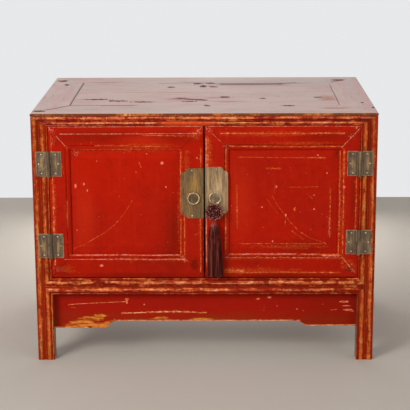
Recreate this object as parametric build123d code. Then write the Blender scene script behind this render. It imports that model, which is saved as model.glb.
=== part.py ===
from build123d import *
import math
import os

# Low two-door kang cabinet, built square: corner posts that run down as the legs, a mitred top frame
# that meets them in three-way mitres, and floating panels. Millimetres.
# Everything is modelled with x = 0 on the centre line, y = 0 on the front face and z = 0 on the floor,
# and is moved in y at the end so that the origin is under the middle of the whole object.

# ---- overall
WIDTH = 860.0
DEPTH = 588.0
HEIGHT = 643.0

# ---- moulded face: two reeds with a bead between them and a bead on the inner edge
POST = 42.5                 # side of the square post, and height of the lower rails that mitre into it
BEAD_W = 3.8
CENTRE_BEAD_W = 3.7
QUIRK_W = 0.8
REED_DEPTH = 3.0
BEAD_SINK = 0.6             # how far a bead's crown lies behind the reeds' crowns
CENTRE_BEAD_SINK = 1.2
EDGE_SINK = 2.4             # where the edge bead meets the inner side of the post
CORNER_SINK = 1.5           # where two faces' reeds meet on the outer corner

# ---- top frame
TOP_T = 31.0
TOP_FRONT_W = 115.0
TOP_REAR_W = 104.0
TOP_SIDE_W = 87.0
NOSE_R = 4.0                # rounded upper edge
NOSE_H = 7.0                # height of the plain nosing above the reeds
NOSE_QUIRK = 0.8
TOP_BOARD_T = 12.0
TOP_TONGUE_T = 5.0
TOP_JOINT_Y = 320.0         # seam between the two top boards
SHRINK_GAP = 0.4            # seam that shows where a board has dried away from its frame
TOP_BATTEN_X = 170.0
TOP_BATTEN_W = 40.0
TOP_BATTEN_H = 16.0
HIP_REACH = 12.0            # how far the cut over a post's sloping top runs past the post
LONG_TENON_X = (24.0, 36.0)     # a post's tenon into the front or rear rail, from the post's corner
LONG_TENON_Y = (14.0, 26.0)
SIDE_TENON_X = (14.0, 22.0)     # its tenon into the side rail
SIDE_TENON_Y = (30.0, 40.0)
CORNER_TENON_X = (50.0, 72.0)   # a side rail's tenon into the front or rear rail
CORNER_TENON_SPAN = (0.35, 0.9)     # its start and end as shares of that rail's width
CORNER_TENON_UP = (9.0, 17.0)
REAR_CHAMFER = 3.0          # along the back of a rear post's outer corner

# ---- lower frame
LOWER_Z = 176.5             # underside of the lower rails
LOWER_RAIL_T = 38.0
FACING_T = 10.0             # thickness of the pointed mitre facings
POINT_ROOT = 2.0            # by which a pointed facing is rooted in its rail
RAIL_TENON_L = 28.0
RAIL_TENON_T = 12.0
RAIL_TENON_H = 14.0
RAIL_TENON_IN = 16.0        # from the outer face to the tenon
FRONT_TENON_UP = 22.5       # from the rail's underside to the tenon of a front or rear rail
SIDE_TENON_UP = 6.5         # the same for a side rail, which enters the post below it

# ---- panels and boards
GROOVE = 8.0                # depth to which a panel's edge enters its frame
PLAY = 1.0                  # room left at the bottom of a groove for the wood to move
PANEL_T = 10.0
PANEL_IN = 8.0              # from the moulding's crowns to a side or back panel
MUNTIN_W = 50.0
MUNTIN_T = 20.0
MUNTIN_IN = 4.0
BOTTOM_BOARD_T = 12.0
BOTTOM_SINK = 4.0           # inside floor below the top of the lower rails
BATTEN_W = 40.0
BATTEN_H = 16.0
KEY_DEPTH = 3.0             # dovetail key of a batten
KEY_NECK = 22.0
KEY_HEAD = 27.0
STUB = 10.0                 # length of a batten's tenon
STUB_SHOULDER = 3.0         # above and below it

# ---- aprons
APRON_T = 14.0
APRON_IN = 24.0             # from the moulding's crowns to the apron's face
APRON_MID_Z = 98.0
SIDE_STEP = (81.0, 131.0, 25.0)     # height of an apron's low end, its length from the post, run of its cove
LEFT_STEP = (79.0, 135.5, 22.0)     # the same at the two ends of the front apron, which is cut unevenly
RIGHT_STEP = (84.5, 128.5, 28.0)
APRON_WAIST = (0.42, 0.68)  # point that the cove passes through, as shares of its run and rise
APRON_HOUSING = 4.0
APRON_TONGUE_T = 8.0
APRON_TONGUE_H = 6.0

# ---- doors
DOOR_T = 22.0
HINGE_GAP = 1.0
MEETING_GAP = 4.0
DOOR_TOP_GAP = 1.5
DOOR_BOTTOM_GAP = 3.0
HINGE_STILE_W = 52.0
LOCK_STILE_W = 59.5
DOOR_RAIL_W = 60.0
TOP_BEVEL_W = 18.5
BOTTOM_BEVEL_W = 12.5
HINGE_BEVEL_W = 8.0
MEETING_BEVEL_W = 6.0
BEVEL_DEPTH = 2.5
OVOLO_W = 11.5
OVOLO_QUIRK = 1.2
OVOLO_END = 4.5             # depth at which the ovolo reaches the panel opening
OVOLO_WAIST = (0.42, 0.5)   # point it passes through: share of its width, depth below its quirk
DOOR_PANEL_IN = 4.5         # from the frame's face to the raised field
DOOR_GROOVE_IN = 8.0
DOOR_GROOVE_T = 6.0
FIELD_MARGIN = 20.0
DOOR_TENON_L = 34.0
DOOR_TENON_T = 7.0
DOOR_TENON_FROM_EDGE = 16.0
DOOR_TENON_H = 30.0
DOOR_BATTEN_W = 30.0
DOOR_BATTEN_T = 6.0
DOOR_STUB_H = 20.0
DOOR_KEY_NECK = 18.0
DOOR_KEY_HEAD = 23.0
DOOR_BATTEN_FROM_RAIL = 62.0
STOP_CLEAR = 0.4
STOP_T = 12.0
STOP_TOP_H = 12.0
STOP_BOTTOM_H = 8.0

# ---- hinges
LEAF_REACH = 32.0           # from the pin to the leaf's far edge
LEAF_H = 63.0
LEAF_T = 1.8
LEAF_CHAMFER = 0.6
KNUCKLE_R = 4.75
KNUCKLE_OUT = 5.0           # from the faces to the pin's axis
KNUCKLE_OVER = 1.0          # by which the barrel stands past the leaf's ends
KNUCKLE_GAP = 0.3
PIN_R = 2.5
PIN_RUNNING = 0.05
LEAF_CLEAR = 0.4
UPPER_HINGE_DOWN = 94.5     # from the door's top edge to the middle of its upper hinge
LEFT_HINGE_UP = 83.0        # from the door's bottom edge to the middle of its lower hinge
RIGHT_HINGE_UP = 92.0
NAIL_NEAR = 17.5
NAIL_FAR = 24.5
NAIL_SPREAD = 24.0
NAIL_HEAD_R = 2.2
NAIL_HEAD_H = 1.2
NAIL_R = 0.9
NAIL_L = 13.0
NAIL_POINT = 2.5
NAIL_TIP_R = 0.14

# ---- face plates, staples and ring pulls
PLATE_W = 57.0
PLATE_H = 128.0
PLATE_T = 1.6
PLATE_LOBE_W = 20.5         # where the corner's upper lobe leaves the end of the plate
PLATE_CUSP_W = 11.2
PLATE_CUSP_H = 9.4
PLATE_LOBE_H = 16.2
PLATE_BULGE = 2.2           # by which both lobes swell past the cusp
PLATE_UPPER_WAIST = 0.36    # where they swell most, as shares of the cusp's height and width
PLATE_SIDE_WAIST = 0.3
PLATE_NAIL_IN = 6.0
LEFT_PLATE_UP = 24.25       # from the door's middle to the middle of its face plate
RIGHT_PLATE_UP = 27.75
RING_R = 14.0
RING_WIRE_R = 1.5
RING_OUT = 6.5              # from the door's face to the ring
RING_FROM_PLATE_EDGE = 25.0
LEFT_RING_DOWN = 12.0       # from the middle of the face plate to the middle of its ring
RIGHT_RING_DOWN = 14.3
EYE_WIRE_R = 1.1
EYE_CLEAR = 0.3
SHANK_R = 1.6
CLINCH_L = 12.0
CLINCH_W = 2.6
CLINCH_T = 1.2

# ---- tassel
CORD_R = 1.0
KNOT_R = 23.0
KNOT_T = 14.0
KNOT_CLEAR = 0.4
KNOT_TO_LEFT = 3.0          # the knot and skirt hang a little to the left of the ring's middle
KNOT_TOP_UP = 4.0           # the knot's top above the bottom of the ring
NECK_R = 4.0
HEAD_R = 8.5
HEAD_H = 18.0
HEAD_SHOULDER = 0.45        # height of the head's rounded shoulder, as a share of its radius
SHOULDER_POINT = (0.82, 0.25)   # point it passes through, as shares of the radius and of that height
NECK_H = 8.0
SKIRT_L = 122.0
SKIRT_TOP_W = 24.0
SKIRT_TOP_T = 17.0
SKIRT_LOW_W = 45.0
SKIRT_LOW_T = 22.0
SKIRT_LEAN = 3.5            # the skirt's hem lies this far to the right of its top

# ---- worked out from the sizes above
LEFT = -WIDTH / 2
INNER = LEFT + POST                     # inner side of a left post
TOP_Z = HEIGHT - TOP_T                  # underside of the top frame
LOWER_TOP = LOWER_Z + POST
HIP_SLOPE = (TOP_T - NOSE_H) / POST     # the posts' tops fall by this towards the inside
OPEN_X = LEFT + TOP_SIDE_W              # opening of the top frame
OPEN_Y = (TOP_FRONT_W, DEPTH - TOP_REAR_W)
BOARD_Z = HEIGHT - TOP_BOARD_T
FLOOR_Z = LOWER_TOP - BOTTOM_SINK
AXIS_X = INNER + HINGE_GAP / 2
AXIS_Y = -KNUCKLE_OUT
DOOR_X = (INNER + HINGE_GAP, -MEETING_GAP / 2)
DOOR_Z = (LOWER_TOP + DOOR_BOTTOM_GAP, TOP_Z - DOOR_TOP_GAP)
PANEL_X = (DOOR_X[0] + HINGE_STILE_W, DOOR_X[1] - LOCK_STILE_W)
PANEL_Z = (DOOR_Z[0] + DOOR_RAIL_W, DOOR_Z[1] - DOOR_RAIL_W)
UPPER_HINGE_Z = DOOR_Z[1] - UPPER_HINGE_DOWN
LEFT_LOWER_HINGE_Z = DOOR_Z[0] + LEFT_HINGE_UP
RIGHT_LOWER_HINGE_Z = DOOR_Z[0] + RIGHT_HINGE_UP
LEFT_PLATE_Z = (DOOR_Z[0] + DOOR_Z[1]) / 2 + LEFT_PLATE_UP
RIGHT_PLATE_Z = (DOOR_Z[0] + DOOR_Z[1]) / 2 + RIGHT_PLATE_UP
LEFT_RING_Z = LEFT_PLATE_Z - LEFT_RING_DOWN
RIGHT_RING_Z = RIGHT_PLATE_Z - RIGHT_RING_DOWN
RING_X = DOOR_X[1] - RING_FROM_PLATE_EDGE
EYE_R = RING_WIRE_R + EYE_CLEAR + EYE_WIRE_R
LOOP_R = RING_WIRE_R + EYE_CLEAR + CORD_R
KNOT_Y = -RING_OUT - LOOP_R - CORD_R - KNOT_CLEAR - KNOT_T / 2
FRONT_REACH = SKIRT_LOW_T / 2 - KNOT_Y  # how far the tassel stands in front of the face
FACE_Y = (FRONT_REACH - DEPTH) / 2      # the front face's place in the finished frame


# ---------------------------------------------------------------- plain helpers
def block(x, y, z):
    """A box between two values on each axis."""
    box = Box(x[1] - x[0], y[1] - y[0], z[1] - z[0], align=(Align.MIN, Align.MIN, Align.MIN))
    return Pos(x[0], y[0], z[0]) * box


def placer(axis, at):
    """Puts a pair of section coordinates into space on a plane square to an axis."""
    places = {
        "x": lambda u, v: (at, u, v),
        "y": lambda u, v: (u, at, v),
        "z": lambda u, v: (u, v, at),
    }
    return places[axis]


DIRECTIONS = {"x": (1, 0, 0), "y": (0, 1, 0), "z": (0, 0, 1)}


def prism(axis, outline, start, end):
    """A straight prism along an axis from an outline in the other two coordinates."""
    place = placer(axis, start)
    face = make_face(Polyline(*[place(u, v) for u, v in outline], close=True))
    return extrude(face, amount=end - start, dir=DIRECTIONS[axis])


def drawn(axis, edges, start, end):
    """Extrudes the face inside a closed set of edges along an axis."""
    return extrude(make_face(edges), amount=end - start, dir=DIRECTIONS[axis])


def across(shape):
    """The same piece on the other side of the centre line."""
    return mirror(shape, about=Plane.YZ)


def turned_back(shape):
    """The same piece at the back of the cabinet."""
    return mirror(shape, about=Plane(origin=(0, DEPTH / 2, 0), x_dir=(1, 0, 0), z_dir=(0, 1, 0)))


def both_sides(shape):
    return shape + across(shape)


def front_and_back(shape):
    return shape + turned_back(shape)


# ---------------------------------------------------------------- moulding
def reed_width():
    return (POST - 2 * BEAD_W - CENTRE_BEAD_W - 4 * QUIRK_W) / 2


def inner_strips():
    """Edge bead and inner reed: start, crown and end, as distance from the inner edge and depth."""
    reed_start = BEAD_W + QUIRK_W
    reed_end = reed_start + reed_width()
    return [
        [(0, EDGE_SINK), (BEAD_W / 2, BEAD_SINK), (BEAD_W, REED_DEPTH)],
        [(reed_start, REED_DEPTH), ((reed_start + reed_end) / 2, 0), (reed_end, REED_DEPTH)],
    ]


def centre_strip():
    middle = POST / 2
    half = CENTRE_BEAD_W / 2
    return [(middle - half, REED_DEPTH), (middle, CENTRE_BEAD_SINK), (middle + half, REED_DEPTH)]


def corner_strip():
    """Outer reed, which rolls over to the corner, with its crown nearer to the corner."""
    start = POST / 2 + CENTRE_BEAD_W / 2 + QUIRK_W
    end = POST - CORNER_SINK
    crown = end - (end - start) / (1 + math.sqrt(REED_DEPTH / CORNER_SINK))
    return [(start, REED_DEPTH), (crown, 0), (end, CORNER_SINK)]


def post_strips():
    return inner_strips() + [centre_strip(), corner_strip()]


def lower_rail_strips():
    """The post's inner half twice over, so that each half turns the corner in a mitre."""
    lower = inner_strips()
    upper = [[(POST - w, depth) for w, depth in reversed(strip)] for strip in reversed(lower)]
    return lower + [centre_strip()] + upper


def strip_edges(strips, place):
    """Arcs for the strips, joined by the flat bottoms of the quirks."""
    edges = []
    for strip in strips:
        edges.append(ThreePointArc(*[place(w, depth) for w, depth in strip]))
    for first, second in zip(strips, strips[1:]):
        edges.append(Line(place(*first[-1]), place(*second[0])))
    return edges


def path(points):
    return [Line(a, b) for a, b in zip(points, points[1:])]


# ---------------------------------------------------------------- joints shared by two pieces
def hip_cut():
    """What lies above the sloping top of the front left post."""
    def height(offset):
        return HEIGHT - NOSE_H - HIP_SLOPE * offset

    def outline(start):
        low = (start - HIP_REACH, height(-HIP_REACH))
        high = (start + POST + HIP_REACH, height(POST + HIP_REACH))
        return [low, high, (high[0], HEIGHT + HIP_REACH), (low[0], HEIGHT + HIP_REACH)]

    side = prism("y", outline(LEFT), -HIP_REACH, POST + HIP_REACH)
    front = prism("x", outline(0), LEFT - HIP_REACH, INNER + HIP_REACH)
    return side + front


def from_left(span):
    """A span measured from the outer left side."""
    return (LEFT + span[0], LEFT + span[1])


def top_tenons():
    """Two tenons on the post's top, one for the front or rear rail and one for the side rail."""
    z = (TOP_Z - STUB, BOARD_Z)
    into_long_rail = block(from_left(LONG_TENON_X), LONG_TENON_Y, z)
    into_side_rail = block(from_left(SIDE_TENON_X), SIDE_TENON_Y, z)
    return into_long_rail + into_side_rail


def corner_envelope():
    """The space that a front left post takes out of the top rails."""
    plain = block((LEFT, INNER), (0, POST), (LOWER_Z, HEIGHT)) - hip_cut()
    return plain + top_tenons()


def top_corner_tenon(rail_w):
    """Tenon of a side top rail in the front or rear top rail, below the boards' groove."""
    y = (rail_w * CORNER_TENON_SPAN[0], rail_w * CORNER_TENON_SPAN[1])
    z = (TOP_Z + CORNER_TENON_UP[0], TOP_Z + CORNER_TENON_UP[1])
    return block(from_left(CORNER_TENON_X), y, z)


def point_outline(tip, shoulder):
    """Outline of a pointed facing from its tip, in the middle of the post, to its root in the rail."""
    root = shoulder + POINT_ROOT
    middle = LOWER_Z + POST / 2
    return [(root, LOWER_Z), (root, LOWER_TOP), (shoulder, LOWER_TOP), (tip, middle), (shoulder, LOWER_Z)]


def front_point():
    """Pointed facing of the front lower rail at the left post."""
    return prism("y", point_outline(LEFT + POST / 2, INNER), -1, FACING_T)


def side_point():
    """Pointed facing of the left lower rail at the front post."""
    return prism("x", point_outline(POST / 2, POST), LEFT - 1, LEFT + FACING_T)


def front_tenon():
    low = LOWER_Z + FRONT_TENON_UP
    y = (RAIL_TENON_IN, RAIL_TENON_IN + RAIL_TENON_T)
    return block((INNER - RAIL_TENON_L, INNER + POINT_ROOT), y, (low, low + RAIL_TENON_H))


def side_tenon():
    low = LOWER_Z + SIDE_TENON_UP
    x = (LEFT + RAIL_TENON_IN, LEFT + RAIL_TENON_IN + RAIL_TENON_T)
    return block(x, (POST - RAIL_TENON_L, POST + POINT_ROOT), (low, low + RAIL_TENON_H))


def side_panel_space(play):
    """The left side panel with its edges in their grooves; play opens the grooves past the edges."""
    reach = GROOVE - PLAY + play
    y = (POST - reach, DEPTH - POST + reach)
    return block((LEFT + PANEL_IN, LEFT + PANEL_IN + PANEL_T), y, (LOWER_TOP - reach, TOP_Z + reach))


def back_space(play):
    """The whole back, boards and grooves, between the rear posts."""
    reach = GROOVE - PLAY + play
    y = (DEPTH - PANEL_IN - PANEL_T, DEPTH - PANEL_IN)
    return block((INNER - reach, -INNER + reach), y, (LOWER_TOP - reach, TOP_Z + reach))


def bottom_space(play):
    """The inside floor with its edges in the grooves of the lower rails."""
    reach = LOWER_RAIL_T - GROOVE + PLAY - play
    x = (LEFT + reach, -LEFT - reach)
    return block(x, (reach, DEPTH - reach), (FLOOR_Z - BOTTOM_BOARD_T, FLOOR_Z))


def top_tongue_space(play):
    """The tongue round the top boards in the groove of the top frame."""
    reach = GROOVE - PLAY + play
    x = (OPEN_X - reach, -OPEN_X + reach)
    y = (OPEN_Y[0] - reach, OPEN_Y[1] + reach)
    return block(x, y, (BOARD_Z, BOARD_Z + TOP_TONGUE_T))


def dovetail_key(centre, base, start, end):
    """Dovetail key along y on top of a batten."""
    outline = [
        (centre - KEY_NECK / 2, base),
        (centre + KEY_NECK / 2, base),
        (centre + KEY_HEAD / 2, base + KEY_DEPTH),
        (centre - KEY_HEAD / 2, base + KEY_DEPTH),
    ]
    return prism("y", outline, start, end)


def top_batten_keys():
    return both_sides(dovetail_key(-TOP_BATTEN_X, BOARD_Z, OPEN_Y[0], OPEN_Y[1]))


def top_batten_stubs():
    """Tenons of the two top battens in the front and rear top rails."""
    x = (-TOP_BATTEN_X - TOP_BATTEN_W / 4, -TOP_BATTEN_X + TOP_BATTEN_W / 4)
    z = (BOARD_Z - TOP_BATTEN_H + STUB_SHOULDER, BOARD_Z - STUB_SHOULDER)
    front = block(x, (OPEN_Y[0] - STUB, OPEN_Y[0] + 1), z)
    rear = block(x, (OPEN_Y[1] - 1, OPEN_Y[1] + STUB), z)
    return both_sides(front + rear)


def bottom_batten_key():
    return dovetail_key(0, FLOOR_Z - BOTTOM_BOARD_T, LOWER_RAIL_T, DEPTH - LOWER_RAIL_T)


def bottom_batten_stubs():
    top = FLOOR_Z - BOTTOM_BOARD_T
    z = (top - BATTEN_H + STUB_SHOULDER, top - STUB_SHOULDER)
    stub = block((-BATTEN_W / 4, BATTEN_W / 4), (LOWER_RAIL_T - STUB, LOWER_RAIL_T + 1), z)
    return front_and_back(stub)


def apron_tongue(start, end, offset):
    """Tongue along x on an apron's upper edge."""
    inset = (APRON_T - APRON_TONGUE_T) / 2
    y = (offset + inset, offset + inset + APRON_TONGUE_T)
    return block((start, end), y, (LOWER_Z - 1, LOWER_Z + APRON_TONGUE_H))


def side_apron_tongue():
    inset = (APRON_T - APRON_TONGUE_T) / 2
    x = (LEFT + APRON_IN + inset, LEFT + APRON_IN + inset + APRON_TONGUE_T)
    return block(x, (POST, DEPTH - POST), (LOWER_Z - 1, LOWER_Z + APRON_TONGUE_H))


# ---------------------------------------------------------------- carcass
def post_section(front):
    """Plan of the front left post; a rear post is moulded on its outer side alone."""
    side = strip_edges(post_strips(), lambda w, depth: (LEFT + depth, POST - w, 0))
    inner = (INNER, POST, 0)
    side_end = (LEFT + EDGE_SINK, POST, 0)
    corner = (LEFT + CORNER_SINK, CORNER_SINK, 0)
    if front:
        face = strip_edges(post_strips(), lambda w, depth: (INNER - w, depth, 0))
        return make_face(side + face + path([side_end, inner, (INNER, EDGE_SINK, 0)]))
    plain = path([side_end, inner, (INNER, 0, 0), (LEFT + REAR_CHAMFER, 0, 0), corner])
    return make_face(side + plain)


def front_apron_slot(low):
    """Housing of the front apron in the front left post, down to the apron's low end."""
    y = (APRON_IN, APRON_IN + APRON_T)
    return block((INNER - APRON_HOUSING, INNER + 1), y, (low, LOWER_Z + APRON_TONGUE_H))


def side_apron_slot():
    x = (LEFT + APRON_IN, LEFT + APRON_IN + APRON_T)
    return block(x, (POST - APRON_HOUSING, POST + 1), (SIDE_STEP[0], LOWER_Z + APRON_TONGUE_H))


def post(section):
    """What all corner posts and legs have in common, drawn at the front left."""
    body = extrude(section, amount=HEIGHT, dir=DIRECTIONS["z"])
    body = body - hip_cut() + top_tenons()
    body -= side_point() + side_tenon()
    body -= front_tenon()
    body -= side_apron_slot()
    return body - side_panel_space(PLAY)


def front_post(apron_low):
    return post(post_section(True)) - front_point() - front_apron_slot(apron_low)


def rear_post():
    """Drawn at the front left, to be turned to the back."""
    return post(post_section(False)) - turned_back(back_space(PLAY))


def top_profile(place):
    """Edge of the top frame: the post's moulding pressed into less height, with a nosing over it."""
    squeeze = (TOP_T - NOSE_H) / POST
    strips = post_strips()
    edges = strip_edges(strips, lambda w, depth: place(depth, TOP_Z + w * squeeze))
    last_w, last_depth = strips[-1][-1]
    quirk_z = HEIGHT - NOSE_H + NOSE_QUIRK
    edges += path([
        place(last_depth, TOP_Z + last_w * squeeze),
        place(last_depth, quirk_z),
        place(0, quirk_z),
        place(0, HEIGHT - NOSE_R),
    ])
    bow = NOSE_R * (1 - math.sqrt(0.5))
    edges.append(ThreePointArc(place(0, HEIGHT - NOSE_R), place(bow, HEIGHT - bow), place(NOSE_R, HEIGHT)))
    return edges


def top_bar_back(place, width):
    """Flat top, inner side and underside that close a moulded bar's section."""
    corners = [(NOSE_R, HEIGHT), (width, HEIGHT), (width, TOP_Z), (EDGE_SINK, TOP_Z)]
    return path([place(depth, z) for depth, z in corners])


def top_bar_front():
    def place(depth, z):
        return (LEFT, depth, z)

    return drawn("x", top_profile(place) + top_bar_back(place, TOP_FRONT_W), LEFT, -LEFT)


def top_bar_side():
    def place(depth, z):
        return (LEFT + depth, 0, z)

    return drawn("y", top_profile(place) + top_bar_back(place, TOP_SIDE_W), 0, DEPTH)


def top_bar_rear():
    """Plain at the back but for its rounded upper edge."""
    bow = NOSE_R * (1 - math.sqrt(0.5))
    round_edge = ThreePointArc(
        (LEFT, DEPTH, HEIGHT - NOSE_R),
        (LEFT, DEPTH - bow, HEIGHT - bow),
        (LEFT, DEPTH - NOSE_R, HEIGHT),
    )
    rest = path([
        (LEFT, DEPTH - NOSE_R, HEIGHT),
        (LEFT, DEPTH - TOP_REAR_W, HEIGHT),
        (LEFT, DEPTH - TOP_REAR_W, TOP_Z),
        (LEFT, DEPTH, TOP_Z),
        (LEFT, DEPTH, HEIGHT - NOSE_R),
    ])
    return drawn("x", [round_edge] + rest, LEFT, -LEFT)


def top_rail_front():
    plan = [(LEFT, 0), (-LEFT, 0), (-OPEN_X, TOP_FRONT_W), (OPEN_X, TOP_FRONT_W)]
    rail = top_bar_front() & prism("z", plan, TOP_Z, HEIGHT)
    rail -= both_sides(corner_envelope())
    rail -= both_sides(top_corner_tenon(TOP_FRONT_W))
    rail -= top_tongue_space(PLAY)
    return rail - top_batten_stubs()


def top_rail_rear():
    plan = [(LEFT, DEPTH), (-LEFT, DEPTH), (-OPEN_X, OPEN_Y[1]), (OPEN_X, OPEN_Y[1])]
    rail = top_bar_rear() & prism("z", plan, TOP_Z, HEIGHT)
    rail -= both_sides(turned_back(corner_envelope()))
    rail -= both_sides(turned_back(top_corner_tenon(TOP_REAR_W)))
    rail -= top_tongue_space(PLAY)
    rail -= back_space(PLAY)
    return rail - top_batten_stubs()


def top_rail_side():
    plan = [(LEFT, 0), (OPEN_X, OPEN_Y[0]), (OPEN_X, OPEN_Y[1]), (LEFT, DEPTH)]
    rail = top_bar_side() & prism("z", plan, TOP_Z, HEIGHT)
    rail += top_corner_tenon(TOP_FRONT_W)
    rail += turned_back(top_corner_tenon(TOP_REAR_W))
    rail -= front_and_back(corner_envelope())
    rail -= top_tongue_space(PLAY)
    return rail - side_panel_space(PLAY)


def top_board(y):
    """One board of the top, between two depths; its outer edges carry the tongue."""
    x = (OPEN_X + SHRINK_GAP, -OPEN_X - SHRINK_GAP)
    face = block(x, (y[0] + SHRINK_GAP / 2, y[1] - SHRINK_GAP / 2), (BOARD_Z, HEIGHT))
    reach = (
        y[0] - GROOVE if y[0] == OPEN_Y[0] else y[0],
        y[1] + GROOVE if y[1] == OPEN_Y[1] else y[1],
    )
    tongue = top_tongue_space(0) & block((LEFT, -LEFT), reach, (BOARD_Z, HEIGHT))
    return face + tongue - top_batten_keys()


def top_battens():
    batten = block(
        (-TOP_BATTEN_X - TOP_BATTEN_W / 2, -TOP_BATTEN_X + TOP_BATTEN_W / 2),
        OPEN_Y,
        (BOARD_Z - TOP_BATTEN_H, BOARD_Z),
    )
    return both_sides(batten) + top_batten_keys() + top_batten_stubs()


def lower_bar(place_front, axis, start, end):
    """Lower rail's moulded bar."""
    edges = strip_edges(lower_rail_strips(), place_front)
    back = path([
        place_front(POST, EDGE_SINK),
        place_front(POST, LOWER_RAIL_T),
        place_front(0, LOWER_RAIL_T),
        place_front(0, EDGE_SINK),
    ])
    return drawn(axis, edges + back, start, end)


def lower_rail_front():
    start = LEFT + POST / 2
    bar = lower_bar(lambda w, depth: (start, depth, LOWER_Z + w), "x", start, -start)
    kept = block((INNER, -INNER), (-1, LOWER_RAIL_T), (LOWER_Z, LOWER_TOP)) + both_sides(front_point())
    rail = (bar & kept) + both_sides(front_tenon())
    rail -= bottom_space(PLAY)
    rail -= apron_tongue(INNER, -INNER, APRON_IN)
    return rail - bottom_batten_stubs()


def lower_rail_rear():
    rail = block((INNER, -INNER), (DEPTH - LOWER_RAIL_T, DEPTH), (LOWER_Z, LOWER_TOP))
    rail += both_sides(turned_back(front_tenon()))
    rail -= bottom_space(PLAY)
    rail -= back_space(PLAY)
    return rail - bottom_batten_stubs()


def lower_rail_side():
    start = POST / 2
    bar = lower_bar(lambda w, depth: (LEFT + depth, start, LOWER_Z + w), "y", start, DEPTH - start)
    core = block((LEFT - 1, LEFT + LOWER_RAIL_T), (POST, DEPTH - POST), (LOWER_Z, LOWER_TOP))
    kept = core + front_and_back(side_point())
    rail = (bar & kept) + front_and_back(side_tenon())
    rail -= bottom_space(PLAY)
    rail -= side_apron_tongue()
    return rail - side_panel_space(PLAY)


def bottom_board():
    """Front half of the inside floor, notched round the posts."""
    board = bottom_space(0) & block((LEFT, -LEFT), (0, DEPTH / 2), (0, HEIGHT))
    notch = POST + SHRINK_GAP
    board -= both_sides(block((LEFT, LEFT + notch), (0, notch), (LOWER_Z, LOWER_TOP)))
    return board - bottom_batten_key()


def bottom_batten():
    z = (FLOOR_Z - BOTTOM_BOARD_T - BATTEN_H, FLOOR_Z - BOTTOM_BOARD_T)
    body = block((-BATTEN_W / 2, BATTEN_W / 2), (LOWER_RAIL_T, DEPTH - LOWER_RAIL_T), z)
    return body + bottom_batten_key() + bottom_batten_stubs()


def muntin():
    """Upright in the middle of the back, grooved for both back boards."""
    y = (DEPTH - MUNTIN_IN - MUNTIN_T, DEPTH - MUNTIN_IN)
    body = block((-MUNTIN_W / 2, MUNTIN_W / 2), y, (LOWER_TOP, TOP_Z))
    half = MUNTIN_W / 2
    tongue = back_space(0) & block((-half, half), (0, DEPTH), (0, HEIGHT))
    groove = back_space(PLAY) & block((-half - 1, -half + GROOVE), (0, DEPTH), (0, HEIGHT))
    return body + tongue - both_sides(groove)


def back_board():
    right_edge = -MUNTIN_W / 2 + GROOVE - PLAY
    return back_space(0) & block((LEFT, right_edge), (0, DEPTH), (0, HEIGHT))


def apron_cove(post_edge, inward, step):
    """Low end, waist and high end of the cove that lifts an apron's middle; inward is +1 or -1."""
    low_z, length, run = step
    at = post_edge + inward * length
    waist = (at + inward * run * APRON_WAIST[0], low_z + (APRON_MID_Z - low_z) * APRON_WAIST[1])
    return (at, low_z), waist, (at + inward * run, APRON_MID_Z)


def apron_plate(start, end, steps, place):
    """Apron between two posts, with its ends in their housings; place puts the outline in space."""
    left = apron_cove(start, 1, steps[0])
    right = apron_cove(end, -1, steps[1])
    low_left = (start - APRON_HOUSING, left[0][1])
    low_right = (end + APRON_HOUSING, right[0][1])
    top_left = (low_left[0], LOWER_Z)
    top_right = (low_right[0], LOWER_Z)
    edges = path([place(*p) for p in (right[0], low_right, top_right, top_left, low_left, left[0])])
    edges.append(ThreePointArc(*[place(*p) for p in left]))
    edges.append(Line(place(*left[2]), place(*right[2])))
    edges.append(ThreePointArc(*[place(*p) for p in right]))
    return edges


def apron_front():
    edges = apron_plate(INNER, -INNER, (LEFT_STEP, RIGHT_STEP), lambda x, z: (x, APRON_IN, z))
    return drawn("y", edges, APRON_IN, APRON_IN + APRON_T) + apron_tongue(INNER, -INNER, APRON_IN)


def apron_side():
    at = LEFT + APRON_IN
    edges = apron_plate(POST, DEPTH - POST, (SIDE_STEP, SIDE_STEP), lambda y, z: (at, y, z))
    return drawn("x", edges, at, at + APRON_T) + side_apron_tongue()


def door_stop(z):
    """Strip that the doors close against."""
    return block((INNER, -INNER), (DOOR_T + STOP_CLEAR, DOOR_T + STOP_CLEAR + STOP_T), z)


# ---------------------------------------------------------------- left door
def wedge(edge, inward, low, high):
    """Wedge that leaves a slope: low at the edge, high after going inward; it also runs 1 mm outward."""
    outside = edge - math.copysign(1, inward)
    top = high - 1
    return [(outside, top), (edge + inward, top), (edge + inward, high), (edge, low), (outside, low)]


def swapped(outline):
    return [(v, u) for u, v in outline]


def door_bevels():
    """What the bevel takes off round the face of the left door."""
    x0, x1 = DOOR_X
    z0, z1 = DOOR_Z

    hinge = prism("z", wedge(x0, HINGE_BEVEL_W, BEVEL_DEPTH, 0), z0 - 1, z1 + 1)
    meeting = prism("z", wedge(x1, -MEETING_BEVEL_W, BEVEL_DEPTH, 0), z0 - 1, z1 + 1)
    bottom = prism("x", swapped(wedge(z0, BOTTOM_BEVEL_W, BEVEL_DEPTH, 0)), x0 - 1, x1 + 1)
    top = prism("x", swapped(wedge(z1, -TOP_BEVEL_W, BEVEL_DEPTH, 0)), x0 - 1, x1 + 1)
    return hinge + meeting + bottom + top


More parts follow.
